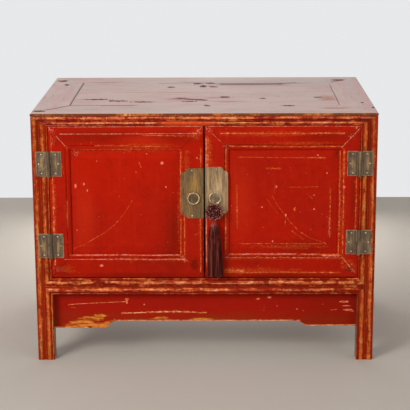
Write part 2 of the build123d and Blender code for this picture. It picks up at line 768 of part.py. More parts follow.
def ovolo_cut(axis, edge, outward, start, end, width):
    """Wood taken away to leave an ovolo along an opening's edge; outward is +1 or -1."""
    def place(t, depth):
        if axis == "z":
            return (edge + outward * t, depth, start)
        return (start, depth, edge + outward * t)

    quirk = QUIRK_W
    arc = ThreePointArc(
        place(width - quirk, OVOLO_QUIRK),
        place((width - quirk) * OVOLO_WAIST[0], OVOLO_QUIRK + OVOLO_WAIST[1]),
        place(0, OVOLO_END),
    )
    rest = path([
        place(0, OVOLO_END),
        place(-1, OVOLO_END),
        place(-1, -1),
        place(width, -1),
        place(width, OVOLO_QUIRK),
        place(width - quirk, OVOLO_QUIRK),
    ])
    return drawn(axis, [arc] + rest, start, end)


def door_panel_space(play):
    reach = GROOVE - PLAY + play
    x = (PANEL_X[0] - reach, PANEL_X[1] + reach)
    y = (DOOR_GROOVE_IN, DOOR_GROOVE_IN + DOOR_GROOVE_T)
    return block(x, y, (PANEL_Z[0] - reach, PANEL_Z[1] + reach))


def door_tenon(from_hinge, at_top):
    """Tenon of a door rail in a stile."""
    if at_top:
        z = (DOOR_Z[1] - DOOR_TENON_FROM_EDGE - DOOR_TENON_H, DOOR_Z[1] - DOOR_TENON_FROM_EDGE)
    else:
        z = (DOOR_Z[0] + DOOR_TENON_FROM_EDGE, DOOR_Z[0] + DOOR_TENON_FROM_EDGE + DOOR_TENON_H)
    if from_hinge:
        x = (PANEL_X[0] - DOOR_TENON_L, PANEL_X[0] + 1)
    else:
        x = (PANEL_X[1] - 1, PANEL_X[1] + DOOR_TENON_L)
    return block(x, (DOOR_GROOVE_IN, DOOR_GROOVE_IN + DOOR_TENON_T), z)


def door_batten_heights():
    return (PANEL_Z[0] + DOOR_BATTEN_FROM_RAIL, PANEL_Z[1] - DOOR_BATTEN_FROM_RAIL)


def door_batten_key(z):
    back = DOOR_GROOVE_IN + DOOR_GROOVE_T
    neck = DOOR_KEY_NECK / 2
    head = DOOR_KEY_HEAD / 2
    outline = [(back, z - neck), (back, z + neck), (back - KEY_DEPTH, z + head), (back - KEY_DEPTH, z - head)]
    return prism("x", outline, PANEL_X[0], PANEL_X[1])


def door_batten_stubs():
    """Tenons of the panel battens in both stiles."""
    back = DOOR_GROOVE_IN + DOOR_GROOVE_T
    stubs = None
    for z in door_batten_heights():
        heights = (z - DOOR_STUB_H / 2, z + DOOR_STUB_H / 2)
        y = (back + 1, back + DOOR_BATTEN_T - 1)
        pair = block((PANEL_X[0] - STUB, PANEL_X[0] + 1), y, heights)
        pair += block((PANEL_X[1] - 1, PANEL_X[1] + STUB), y, heights)
        stubs = pair if stubs is None else stubs + pair
    return stubs


def door_stile(hinge_side, holes):
    x0, x1 = DOOR_X
    z0, z1 = DOOR_Z
    if hinge_side:
        outline = [(x0, z0), (PANEL_X[0], PANEL_Z[0]), (PANEL_X[0], PANEL_Z[1]), (x0, z1)]
        ovolo = ovolo_cut("z", PANEL_X[0], -1, z0, z1, OVOLO_W * HINGE_STILE_W / DOOR_RAIL_W)
    else:
        outline = [(x1, z0), (x1, z1), (PANEL_X[1], PANEL_Z[1]), (PANEL_X[1], PANEL_Z[0])]
        ovolo = ovolo_cut("z", PANEL_X[1], 1, z0, z1, OVOLO_W * LOCK_STILE_W / DOOR_RAIL_W)
    stile = prism("y", outline, 0, DOOR_T) - ovolo - door_bevels()
    stile -= door_panel_space(PLAY)
    stile -= door_tenon(hinge_side, True) + door_tenon(hinge_side, False)
    stile -= door_batten_stubs()
    return stile - holes


def door_rail(at_top):
    x0, x1 = DOOR_X
    edge = DOOR_Z[1] if at_top else DOOR_Z[0]
    inner = PANEL_Z[1] if at_top else PANEL_Z[0]
    outline = [(x0, edge), (x1, edge), (PANEL_X[1], inner), (PANEL_X[0], inner)]
    rail = prism("y", outline, 0, DOOR_T)
    rail -= ovolo_cut("x", inner, 1 if at_top else -1, x0, x1, OVOLO_W)
    rail -= door_bevels()
    rail -= door_panel_space(PLAY)
    return rail + door_tenon(True, at_top) + door_tenon(False, at_top)


def door_panel():
    """Floating panel with a raised field and sloping margins."""
    back = DOOR_GROOVE_IN + DOOR_GROOVE_T
    field = block(PANEL_X, (DOOR_PANEL_IN, back), PANEL_Z)

    for edge, inward in zip(PANEL_X, (FIELD_MARGIN, -FIELD_MARGIN)):
        slope = wedge(edge, inward, DOOR_GROOVE_IN, DOOR_PANEL_IN)
        field -= prism("z", slope, PANEL_Z[0] - 1, PANEL_Z[1] + 1)
    for edge, inward in zip(PANEL_Z, (FIELD_MARGIN, -FIELD_MARGIN)):
        slope = wedge(edge, inward, DOOR_GROOVE_IN, DOOR_PANEL_IN)
        field -= prism("x", swapped(slope), PANEL_X[0] - 1, PANEL_X[1] + 1)
    panel = field + door_panel_space(0)
    for z in door_batten_heights():
        panel -= door_batten_key(z)
    return panel


def door_battens():
    back = DOOR_GROOVE_IN + DOOR_GROOVE_T
    battens = door_batten_stubs()
    for z in door_batten_heights():
        half = DOOR_BATTEN_W / 2
        battens += block(PANEL_X, (back, back + DOOR_BATTEN_T), (z - half, z + half)) + door_batten_key(z)
    return battens


# ---------------------------------------------------------------- brass
def hinge_half(z, on_post):
    """One leaf of a left hinge with its knuckle: the post's carries the pin, the door's turns on it."""
    outward = -1 if on_post else 1
    near = AXIS_X + outward * (KNUCKLE_R + LEAF_CLEAR)
    far = AXIS_X + outward * LEAF_REACH
    leaf = block((min(near, far), max(near, far)), (-LEAF_T, 0), (z - LEAF_H / 2, z + LEAF_H / 2))
    rim = leaf.faces().sort_by(Axis.Y)[0].edges()
    leaf = chamfer(rim, LEAF_CHAMFER)
    if on_post:
        span = (z - LEAF_H / 2 - KNUCKLE_OVER, z - KNUCKLE_GAP / 2)
    else:
        span = (z + KNUCKLE_GAP / 2, z + LEAF_H / 2 + KNUCKLE_OVER)
    strap_z = (max(span[0], z - LEAF_H / 2), min(span[1], z + LEAF_H / 2))
    strap_x = (min(AXIS_X, near + outward), max(AXIS_X, near + outward))
    strap = block(strap_x, (-LEAF_T, 0), strap_z)
    barrel = Pos(AXIS_X, AXIS_Y, (span[0] + span[1]) / 2) * Cylinder(KNUCKLE_R, span[1] - span[0])
    strap -= block((AXIS_X - KNUCKLE_R, AXIS_X + KNUCKLE_R), (-KNUCKLE_OUT + KNUCKLE_R, 0), strap_z)
    bore_r = PIN_R if on_post else PIN_R + PIN_RUNNING
    bore = Pos(AXIS_X, AXIS_Y, z) * Cylinder(bore_r, 2 * LEAF_H)
    leaf = leaf + strap + barrel - bore
    for x, nail_z in leaf_nail_places(z, on_post):
        leaf -= nail_shank(x, nail_z)
    return leaf


def hinge_pin(z):
    """Pin that stands in the post's knuckle and reaches up through the door's."""
    low = z - LEAF_H / 2 - KNUCKLE_OVER
    high = z + LEAF_H / 2 + KNUCKLE_OVER
    pin = Pos(AXIS_X, AXIS_Y, (low + high) / 2) * Cylinder(PIN_R, high - low)
    return chamfer(pin.edges().filter_by(GeomType.CIRCLE), LEAF_CHAMFER)


def leaf_nail_places(z, on_post):
    outward = -1 if on_post else 1
    return [
        (AXIS_X + outward * NAIL_NEAR, z + NAIL_SPREAD),
        (AXIS_X + outward * NAIL_FAR, z),
        (AXIS_X + outward * NAIL_NEAR, z - NAIL_SPREAD),
    ]


def nail_shank(x, z):
    """Straight hole for a nail."""
    return Pos(x, 0, z) * (Rot(90, 0, 0) * Cylinder(NAIL_R, 2 * NAIL_L))


def nail(x, under_head, z):
    """Round-headed nail driven in along y; under_head is the y of the surface it holds."""
    shank_l = NAIL_L - NAIL_POINT
    dome_r = (NAIL_HEAD_R ** 2 + NAIL_HEAD_H ** 2) / (2 * NAIL_HEAD_H)
    dome = Pos(0, 0, NAIL_HEAD_H - dome_r) * Sphere(dome_r)
    head = dome & Cylinder(NAIL_HEAD_R, NAIL_HEAD_H, align=(Align.CENTER, Align.CENTER, Align.MIN))
    shank = Pos(0, 0, -shank_l / 2) * Cylinder(NAIL_R, shank_l)
    point = Pos(0, 0, -NAIL_L + NAIL_POINT / 2) * Cone(NAIL_TIP_R, NAIL_R, NAIL_POINT)
    body = head + shank + point
    return Pos(x, under_head, z) * (Rot(90, 0, 0) * body)


def plate_nail_places(plate_z):
    middle = DOOR_X[1] - PLATE_W / 2
    reach = PLATE_H / 2 - PLATE_NAIL_IN
    return [(middle, plate_z + reach), (middle, plate_z - reach)]


def face_plate(plate_z, ring_z):
    """Plate with a straight meeting edge and cusped outer corners."""
    edge = DOOR_X[1]
    outer = edge - PLATE_W
    low = plate_z - PLATE_H / 2
    high = plate_z + PLATE_H / 2

    def corner(end, inward):
        lobe = (outer + PLATE_LOBE_W, end)
        cusp = (outer + PLATE_CUSP_W, end + inward * PLATE_CUSP_H)
        side = (outer, end + inward * PLATE_LOBE_H)
        first_bulge = (cusp[0] + PLATE_BULGE, end + inward * PLATE_CUSP_H * PLATE_UPPER_WAIST)
        second_bulge = (outer + PLATE_CUSP_W * PLATE_SIDE_WAIST, cusp[1] + inward * PLATE_BULGE)
        return [(lobe, first_bulge, cusp), (cusp, second_bulge, side)]

    def place(x, z):
        return (x, -PLATE_T, z)

    top = corner(high, -1)
    bottom = corner(low, 1)
    edges = [ThreePointArc(*[place(*p) for p in arc]) for arc in top + bottom]
    edges.append(Line(place(*top[1][2]), place(*bottom[1][2])))
    edges += path([place(*p) for p in (bottom[0][0], (edge, low), (edge, high), top[0][0])])
    plate = drawn("y", edges, -PLATE_T, 0)
    for x, z in plate_nail_places(plate_z):
        plate -= nail_shank(x, z)
    return plate - staple_shank(ring_z)


def staple_shank(ring_z):
    """The staple's two legs laid together, as one round shank through plate and stile."""
    start = -RING_OUT + EYE_R
    end = DOOR_T
    middle = Pos(RING_X, (start + end) / 2, ring_z + RING_R)
    return middle * (Rot(90, 0, 0) * Cylinder(SHANK_R, end - start))


def ring_staple(ring_z):
    """Split-pin staple: an eye in front, a shank through the stile and legs clinched behind it."""
    z = ring_z + RING_R
    eye = Pos(RING_X, -RING_OUT, z) * (Rot(0, 90, 0) * Torus(EYE_R, EYE_WIRE_R))
    leg_x = (RING_X - CLINCH_W / 2, RING_X + CLINCH_W / 2)
    legs = block(leg_x, (DOOR_T, DOOR_T + CLINCH_T), (z - CLINCH_L, z + CLINCH_L))
    return eye + staple_shank(ring_z) + legs


def ring_pull(ring_z):
    return Pos(RING_X, -RING_OUT, ring_z) * (Rot(90, 0, 0) * Torus(RING_R, RING_WIRE_R))


# ---------------------------------------------------------------- tassel, on the right-hand ring
def tassel_loop():
    """Cord round the bottom of the ring."""
    return Pos(-RING_X, -RING_OUT, RIGHT_RING_Z - RING_R) * (Rot(0, 90, 0) * Torus(LOOP_R, CORD_R))


def knot_centre():
    top = RIGHT_RING_Z - RING_R + KNOT_TOP_UP
    return (-RING_X - KNOT_TO_LEFT, KNOT_Y, top - KNOT_R)


def tassel_knot():
    """Flat round cushion as large as the tied knot."""
    half = KNOT_T / 2
    flat = KNOT_R - half
    rim = ThreePointArc((flat, 0, -half), (KNOT_R, 0, 0), (flat, 0, half))
    section = path([(flat, 0, half), (0, 0, half), (0, 0, -half), (flat, 0, -half)])
    body = revolve(make_face([rim] + section), axis=Axis.Z)
    return Pos(*knot_centre()) * (Rot(90, 0, 0) * body)


def tassel_head():
    """Neck and bound head between the knot and the skirt."""
    x, y, z = knot_centre()
    top = z - KNOT_R
    bottom = top - NECK_H - HEAD_H
    crown_z = top - NECK_H
    shoulder = HEAD_R * HEAD_SHOULDER
    outline = path([(0, 0, bottom), (HEAD_R, 0, bottom), (HEAD_R, 0, crown_z - shoulder)])
    crown = ThreePointArc(
        (HEAD_R, 0, crown_z - shoulder),
        (HEAD_R * SHOULDER_POINT[0], 0, crown_z - shoulder * SHOULDER_POINT[1]),
        (NECK_R, 0, crown_z),
    )
    neck = path([(NECK_R, 0, crown_z), (NECK_R, 0, top), (0, 0, top), (0, 0, bottom)])
    return Pos(x, y, 0) * revolve(make_face(outline + [crown] + neck), axis=Axis.Z)


def tassel_skirt():
    x, y, z = knot_centre()
    top = z - KNOT_R - NECK_H - HEAD_H
    upper = Pos(x, y, top) * Ellipse(SKIRT_TOP_W / 2, SKIRT_TOP_T / 2)
    lower = Pos(x + SKIRT_LEAN, y, top - SKIRT_L) * Ellipse(SKIRT_LOW_W / 2, SKIRT_LOW_T / 2)
    return loft([upper, lower])


# ---------------------------------------------------------------- assembly
def carcass_pieces():
    pieces = {}
    back_left = turned_back(rear_post())
    post_holes = hinge_nail_holes(True)
    pieces["post_front_left"] = front_post(LEFT_STEP[0]) - post_holes["left"]
    pieces["post_front_right"] = across(front_post(RIGHT_STEP[0]) - post_holes["right"])
    pieces["post_rear_left"] = back_left
    pieces["post_rear_right"] = across(back_left)
    pieces["top_rail_front"] = top_rail_front()
    pieces["top_rail_rear"] = top_rail_rear()
    side_top = top_rail_side()
    pieces["top_rail_left"] = side_top
    pieces["top_rail_right"] = across(side_top)
    pieces["top_board_front"] = top_board((OPEN_Y[0], TOP_JOINT_Y))
    pieces["top_board_rear"] = top_board((TOP_JOINT_Y, OPEN_Y[1]))
    pieces["top_battens"] = top_battens()
    pieces["lower_rail_front"] = lower_rail_front()
    pieces["lower_rail_rear"] = lower_rail_rear()
    side_rail = lower_rail_side()
    pieces["lower_rail_left"] = side_rail
    pieces["lower_rail_right"] = across(side_rail)
    floor = bottom_board()
    pieces["bottom_board_front"] = floor
    pieces["bottom_board_rear"] = turned_back(floor)
    pieces["bottom_batten"] = bottom_batten()
    panel = side_panel_space(0)
    pieces["side_panel_left"] = panel
    pieces["side_panel_right"] = across(panel)
    pieces["back_board_left"] = back_board()
    pieces["back_board_right"] = across(back_board())
    pieces["back_muntin"] = muntin()
    pieces["apron_front"] = apron_front()
    pieces["apron_left"] = apron_side()
    pieces["apron_right"] = across(apron_side())
    pieces["door_stop_top"] = door_stop((TOP_Z - STOP_TOP_H, TOP_Z))
    pieces["door_stop_bottom"] = door_stop((LOWER_TOP, LOWER_TOP + STOP_BOTTOM_H))
    return pieces


def hinge_heights(side):
    return (UPPER_HINGE_Z, LEFT_LOWER_HINGE_Z if side == "left" else RIGHT_LOWER_HINGE_Z)


def hinge_nail_holes(on_post):
    """Nail holes of both hinges of each side, drawn on the left."""
    holes = {}
    for side in ("left", "right"):
        places = [p for z in hinge_heights(side) for p in leaf_nail_places(z, on_post)]
        group = nail_shank(*places[0])
        for x, z in places[1:]:
            group += nail_shank(x, z)
        holes[side] = group
    return holes


def hinge_pieces():
    """Leaves on the posts, with their pins and nails."""
    pieces = {}
    pins = []
    nails = []
    for side, place in (("left", lambda shape: shape), ("right", across)):
        leaves = [hinge_half(z, True) for z in hinge_heights(side)]
        pieces["post_hinge_leaves_" + side] = place(leaves[0] + leaves[1])
        pins += [place(hinge_pin(z)) for z in hinge_heights(side)]
        for z in hinge_heights(side):
            nails += [place(nail(x, -LEAF_T, nail_z)) for x, nail_z in leaf_nail_places(z, True)]
    pieces["hinge_pins"] = Compound(children=pins)
    pieces["post_hinge_nails"] = Compound(children=nails)
    return pieces


def door_pieces(side):
    """All that swings with one door."""
    ring_z = LEFT_RING_Z if side == "left" else RIGHT_RING_Z
    plate_z = LEFT_PLATE_Z if side == "left" else RIGHT_PLATE_Z
    plate_holes = staple_shank(ring_z)
    for x, z in plate_nail_places(plate_z):
        plate_holes += nail_shank(x, z)
    heights = hinge_heights(side)
    nails = [nail(x, -LEAF_T, z) for height in heights for x, z in leaf_nail_places(height, False)]
    nails += [nail(x, -PLATE_T, z) for x, z in plate_nail_places(plate_z)]
    pieces = {
        "hinge_stile": door_stile(True, hinge_nail_holes(False)[side]),
        "lock_stile": door_stile(False, plate_holes),
        "top_rail": door_rail(True),
        "bottom_rail": door_rail(False),
        "panel": door_panel(),
        "panel_battens": door_battens(),
        "hinge_leaves": hinge_half(heights[0], False) + hinge_half(heights[1], False),
        "nails": nails,
        "face_plate": face_plate(plate_z, ring_z),
        "ring_staple": ring_staple(ring_z),
        "ring_pull": ring_pull(ring_z),
    }
    if side == "right":
        pieces = {name: turn_over(shape) for name, shape in pieces.items()}
    pieces["nails"] = Compound(children=pieces["nails"])
    return {side + "_door_" + name: shape for name, shape in pieces.items()}


def turn_over(shape):
    """A piece, or a list of pieces, moved to the right-hand door."""
    if isinstance(shape, list):
        return [across(piece) for piece in shape]
    return across(shape)


def tassel_pieces():
    return {
        "tassel_loop": tassel_loop(),
        "tassel_knot": tassel_knot(),
        "tassel_head": tassel_head(),
        "tassel_skirt": tassel_skirt(),
    }


def main():
    os.makedirs("parts", exist_ok=True)
    pieces = carcass_pieces()
    pieces.update(hinge_pieces())
    pieces.update(door_pieces("left"))
    pieces.update(door_pieces("right"))
    pieces.update(tassel_pieces())
    for name, shape in pieces.items():
        export_step(Pos(0, FACE_Y, 0) * shape, "parts/" + name + ".step")
    print(len(pieces), "pieces; front face at y =", round(FACE_Y, 3))


main()
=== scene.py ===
import math
import random

import bpy
from mathutils import Matrix, Vector


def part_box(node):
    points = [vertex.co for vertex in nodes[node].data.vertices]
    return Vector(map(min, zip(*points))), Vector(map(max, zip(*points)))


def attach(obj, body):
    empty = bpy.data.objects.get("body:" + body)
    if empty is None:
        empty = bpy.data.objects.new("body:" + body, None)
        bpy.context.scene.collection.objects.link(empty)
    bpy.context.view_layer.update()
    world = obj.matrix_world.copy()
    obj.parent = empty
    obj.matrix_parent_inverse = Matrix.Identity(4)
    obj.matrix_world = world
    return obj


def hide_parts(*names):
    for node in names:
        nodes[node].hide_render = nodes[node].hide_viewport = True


# Looks of a red-lacquered kang cabinet with brass fittings and a silk tassel. All sizes are in metres.

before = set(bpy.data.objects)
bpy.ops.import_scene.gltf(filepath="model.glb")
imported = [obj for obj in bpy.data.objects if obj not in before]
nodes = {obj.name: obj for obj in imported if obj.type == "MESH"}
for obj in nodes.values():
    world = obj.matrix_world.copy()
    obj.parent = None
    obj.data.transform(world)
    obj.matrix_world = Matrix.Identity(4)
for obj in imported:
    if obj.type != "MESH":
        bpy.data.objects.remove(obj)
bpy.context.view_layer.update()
dice = random.Random(7)

# ---- where the cabinet's faces lie
FACE = -0.27965             # crowns of the front mouldings
BACK = 0.30835
SIDE = 0.43
TOP = 0.643

# ---- colours, as linear red, green and blue
CINNABAR = (0.43, 0.008, 0.002)
CRIMSON = (0.3, 0.007, 0.004)
DARK_RED = (0.17, 0.006, 0.002)
VERMILION = (0.56, 0.026, 0.006)
MAROON = (0.085, 0.005, 0.002)
CORAL = (0.76, 0.15, 0.1)
RUST = (0.42, 0.045, 0.008)
ORANGE = (0.65, 0.115, 0.024)
STRAW = (0.85, 0.4, 0.17)
CHALK_PINK = (0.86, 0.38, 0.29)
TAN = (0.615, 0.455, 0.41)
DUSTY_ROSE = (0.57, 0.365, 0.345)
DRIFTWOOD = (0.52, 0.45, 0.425)
RED_BROWN = (0.17, 0.04, 0.022)
BARE_LIGHT = (0.34, 0.2, 0.105)
BARE_DARK = (0.17, 0.085, 0.04)
BRASS_WARM = (0.33, 0.205, 0.085)
BRASS_PALE = (0.52, 0.39, 0.24)
SILK_DARK = (0.035, 0.0045, 0.004)
SILK = (0.125, 0.016, 0.012)

# ---- reeds: two lacquers, quirk, rust, orange, ochre, straw, then a crown's wear and its pale flecks on and off it
RAIL_TONES = (DARK_RED, CRIMSON, (0.23, 0.024, 0.006), RUST, ORANGE, (0.6, 0.16, 0.024), (0.84, 0.37, 0.15),
              0.26, 0.55, 0.35)
POST_TONES = ((0.18, 0.01, 0.0025), (0.33, 0.018, 0.004), (0.15, 0.012, 0.0025), (0.4, 0.048, 0.006),
              (0.53, 0.088, 0.009), (0.4, 0.108, 0.011), (0.6, 0.21, 0.052), 0.13, 0.34, 0.14)

# ---- fibres: waves of noise per metre along x, y and z
ALONG_X = (9.0, 260.0, 260.0)
ALONG_Y = (260.0, 9.0, 260.0)
ALONG_Z = (260.0, 260.0, 9.0)


# ---------------------------------------------------------------- node building
class Tree:
    """A node tree that is built by short calls; each gives back an output socket."""

    def __init__(self, tree):
        self.tree = tree

    def feed(self, socket, value):
        if isinstance(value, bpy.types.NodeSocket):
            self.tree.links.new(value, socket)
        elif socket.type == "RGBA" and len(value) == 3:
            socket.default_value = (*value, 1.0)
        elif socket.type == "VECTOR" and isinstance(value, float):
            socket.default_value = (value, value, value)
        else:
            socket.default_value = value

    def node(self, kind, inputs=None, **settings):
        made = self.tree.nodes.new("ShaderNode" + kind)
        for name, value in settings.items():
            setattr(made, name, value)
        for name, value in (inputs or {}).items():
            self.feed(made.inputs[name], value)
        return made

    def place(self):
        return self.node("TexCoord").outputs["Object"]

    def facing(self):
        return self.node("TexCoord").outputs["Normal"]

    def maths(self, operation, *values, clamp=False):
        made = self.node("Math", dict(enumerate(values)), operation=operation)
        made.use_clamp = clamp
        return made.outputs[0]

    def plus(self, first, second):
        return self.maths("ADD", first, second)

    def minus(self, first, second):
        return self.maths("SUBTRACT", first, second)

    def both(self, first, second):
        return self.maths("MULTIPLY", first, second)

    def size(self, value):
        return self.maths("ABSOLUTE", value)

    def highest(self, *masks):
        """The highest of some masks, of which the first may be missing."""
        top = masks[0]
        for mask in masks[1:]:
            top = mask if top is None else self.maths("MAXIMUM", top, mask)
        return top

    def swing(self, noise, amount, about=None):
        """A noise that swings by an amount, about zero or about a value."""
        centred = self.minus(noise, 0.5)
        return self.both(centred, amount) if about is None else self.maths("MULTIPLY_ADD", centred, amount, about)

    def vector(self, operation, *values):
        made = self.node("VectorMath", dict(enumerate(values)), operation=operation)
        return made.outputs["Value" if operation in ("LENGTH", "DOT_PRODUCT") else 0]

    def scaled(self, vector, factor):
        return self.node("VectorMath", {0: vector, "Scale": factor}, operation="SCALE").outputs[0]

    def parts(self, vector):
        return self.node("SeparateXYZ", {0: vector}).outputs

    def point(self, x=0.0, y=0.0, z=0.0):
        return self.node("CombineXYZ", {"X": x, "Y": y, "Z": z}).outputs[0]

    def smooth(self, value, low, high, start=0.0, end=1.0):
        """Eased step from start, at low, to end, at high."""
        inputs = {"Value": value, "From Min": low, "From Max": high, "To Min": start, "To Max": end}
        return self.node("MapRange", inputs, interpolation_type="SMOOTHSTEP").outputs[0]

    def mix(self, share, first, second):
        """Colour that goes from the first to the second."""
        return self.node("Mix", {0: share, 6: first, 7: second}, data_type="RGBA").outputs[2]

    def noise(self, place, stretch, detail=3.0, roughness=0.55):
        """Noise; stretch is how many waves it has per metre, along each axis or along all."""
        spread = self.vector("MULTIPLY", place, stretch)
        inputs = {"Vector": spread, "Scale": 1.0, "Detail": detail, "Roughness": roughness}
        return self.node("TexNoise", inputs).outputs[0]

    def use(self, group, **inputs):
        """Places a node group and gives its outputs."""
        made = self.tree.nodes.new("ShaderNodeGroup")
        made.node_tree = group
        for name, value in inputs.items():
            self.feed(made.inputs[name], value)
        return made.outputs


class Surface(Tree):
    """A material with a Principled shader; constants are set on the shader's own sockets."""

    def __init__(self, name, **constants):
        self.material = bpy.data.materials.new(name)
        self.material.use_nodes = True
        super().__init__(self.material.node_tree)
        self.tree.nodes.clear()
        self.shader = self.node("BsdfPrincipled")
        for title, value in constants.items():
            self.feed(self.shader.inputs[title.replace("_", " ")], value)
        self.output = self.node("OutputMaterial", {"Surface": self.shader.outputs[0]})

    def finish(self, colour, roughness=None, height=None, relief=0.0003):
        """Connects the colour and, if given, the roughness and a height map."""
        self.feed(self.shader.inputs["Base Color"], colour)
        if roughness is not None:
            self.feed(self.shader.inputs["Roughness"], roughness)
        if height is not None:
            bump = self.node("Bump", {"Height": height, "Distance": relief, "Strength": 1.0})
            self.feed(self.shader.inputs["Normal"], bump.outputs[0])
        return self.material


class Coat:
    """A colour that others are laid over, one after another."""

    def __init__(self, tree, first, second, share):
        self.tree = tree
        self.colour = tree.mix(share, first, second)

    def lay(self, tone, mask, strength=None):
        """Lays a tone where the mask is, weakened by the strength or by a second mask."""
        share = mask if strength is None else self.tree.both(mask, strength)
        self.colour = self.tree.mix(share, self.colour, tone)

    def keep(self, mask, tone):
        """Keeps the coat where the mask is and shows a tone elsewhere."""
        self.colour = self.tree.mix(mask, tone, self.colour)


SOCKETS = {"value": "NodeSocketFloat", "vector": "NodeSocketVector"}


def node_group(name, outputs, **inputs):
    """Makes a node group of the function below, which gets the inputs and gives the outputs in their order."""
    def build(fill):
        group = bpy.data.node_groups.new(name, "ShaderNodeTree")
        for title, kind in inputs.items():
            group.interface.new_socket(title, in_out="INPUT", socket_type=SOCKETS[kind])
        for title in outputs:
            group.interface.new_socket(title, in_out="OUTPUT", socket_type=SOCKETS["value"])
        tree = Tree(group)
        given = group.nodes.new("NodeGroupInput").outputs
        results = group.nodes.new("NodeGroupOutput").inputs
        for title, value in zip(outputs, fill(tree, *[given[title] for title in inputs])):
            tree.feed(results[title], value)
        return group
    return build


@node_group("painted_rim_highlight", ["Mask"], Place="vector", Centre="vector", Half="vector", Width="value", Breaks="value")
def RIM_HIGHLIGHT(tree, place, centre, half, width, breaks):
    """A line round a rectangle in x and z, broken where the noise is below Breaks."""
    away = tree.parts(tree.vector("ABSOLUTE", tree.vector("SUBTRACT", place, centre)))
    half = tree.parts(half)
    over_x = tree.minus(away["X"], half["X"])
    over_z = tree.minus(away["Z"], half["Z"])
    line = tree.smooth(tree.size(tree.highest(over_x, over_z)), width, 0.0)
    gaps = tree.noise(place, 90.0, detail=4.0, roughness=0.7)
    return [tree.both(line, tree.smooth(gaps, tree.minus(breaks, 0.06), tree.plus(breaks, 0.06)))]


@node_group("drawn_line", ["Mask", "Beside"],
            Place="vector", From="vector", To="vector", Width="value", Fine="value", Skips="value")
def STROKE(tree, place, start, end, width, fine, skips):
    """A line between two points, such as a scratch, a rubbed line, a crack or a line of painted shade, and the strip
    beside it; Fine and Skips are shared noises.
    """
    run = tree.vector("SUBTRACT", end, start)
    off = tree.vector("SUBTRACT", place, start)
    along = tree.vector("DOT_PRODUCT", off, run)
    share = tree.maths("DIVIDE", along, tree.vector("DOT_PRODUCT", run, run), clamp=True)
    distance = tree.vector("LENGTH", tree.vector("SUBTRACT", off, tree.scaled(run, share)))
    ragged = tree.plus(distance, tree.swing(fine, tree.both(width, 3.0)))
    line = tree.smooth(ragged, width, tree.both(width, 0.35))
    return [tree.both(line, skips), tree.smooth(distance, tree.both(width, 4.0), width)]


@node_group("ragged_patch", ["Mask"],
            Place="vector", Centre="vector", Size="vector", Wander="value", Ragged="value", Core="value")
def PATCH(tree, place, centre, size, wander, ragged, core):
    """A patch inside an ellipsoid: Ragged sets how far its edge wanders, Core how far its full strength reaches."""
    reach = tree.vector("DIVIDE", tree.vector("SUBTRACT", place, centre), size)
    return [tree.smooth(tree.plus(tree.vector("LENGTH", reach), tree.swing(wander, ragged)), 1.0, core)]


@node_group("strewn_specks", ["Mask"], Place="vector", Scale="value", Size="value", Share="value")
def SPECKS(tree, place, scale, size, share):
    """Small round specks strewn over a surface; Share of the cells hold one."""
    cells = tree.node("TexVoronoi", {"Vector": place, "Scale": scale})
    dot = tree.smooth(cells.outputs["Distance"], size, tree.both(size, 0.5))
    return [tree.both(dot, tree.maths("LESS_THAN", tree.parts(cells.outputs["Color"])["X"], share))]


@node_group("moulding_depth", ["Depth", "Crown", "Outer"], Place="vector")
def MOULDING(tree, place):
    """Depth behind the crowns of the nearest moulded face, 0 to 1, the crowns, and whether this is an outer face."""
    at = tree.parts(place)
    reeded = tree.maths("MINIMUM", tree.minus(at["Y"], FACE), tree.minus(SIDE, tree.size(at["X"])))
    nearest = tree.maths("MINIMUM", reeded, tree.minus(BACK, at["Y"]))
    return [tree.smooth(nearest, 0.0003, 0.0034), tree.smooth(reeded, 0.0009, 0.0002),
            tree.smooth(nearest, 0.005, 0.0036)]


@node_group("worn_paint", ["Rust", "Orange", "Straw", "Flecks", "Grime"],
            Place="vector", Grain="vector", Wear="value", Depth="value")
def WORN(tree, place, grain, wear, depth):
    """Paint rubbed off along the grain: more where Wear is high and where the piece stands proud."""
    level = None
    for factor, detail, roughness, weight in ((0.4, 3.0, 0.55, 1.1), (1.0, 6.0, 0.75, 1.7), (3.1, 4.0, 0.75, 1.5)):
        waves = tree.swing(tree.noise(place, tree.scaled(grain, factor), detail, roughness), weight)
        level = waves if level is None else tree.plus(level, waves)
    level = tree.minus(tree.plus(level, wear), tree.both(depth, 0.36))
    speck = tree.noise(place, 330.0, detail=4.0, roughness=0.75)
    darkening = tree.noise(place, tree.vector("ADD", tree.scaled(grain, 0.3), 60.0), detail=7.0, roughness=0.8)
    return [tree.smooth(level, 0.06, 0.18), tree.smooth(level, 0.24, 0.36), tree.smooth(level, 0.58, 0.76),
            tree.both(tree.smooth(speck, 0.56, 0.64), tree.smooth(level, 0.0, 0.35)), tree.smooth(darkening, 0.52, 0.6)]


@node_group("wood_grain", ["Fibre", "Tone"], Place="vector", Grain="vector")
def WOOD(tree, place, grain):
    """Straight wood grain: long fibres, and broad bands of tone."""
    return [tree.noise(place, grain, detail=6.0, roughness=0.7), tree.noise(place, tree.scaled(grain, 0.16))]


LACQUER = {"Specular_IOR_Level": 0.35, "Specular_Tint": (1.0, 0.18, 0.05)}
OLD_LACQUER = {"Specular_IOR_Level": 0.3, "Specular_Tint": (1.0, 0.35, 0.12)}


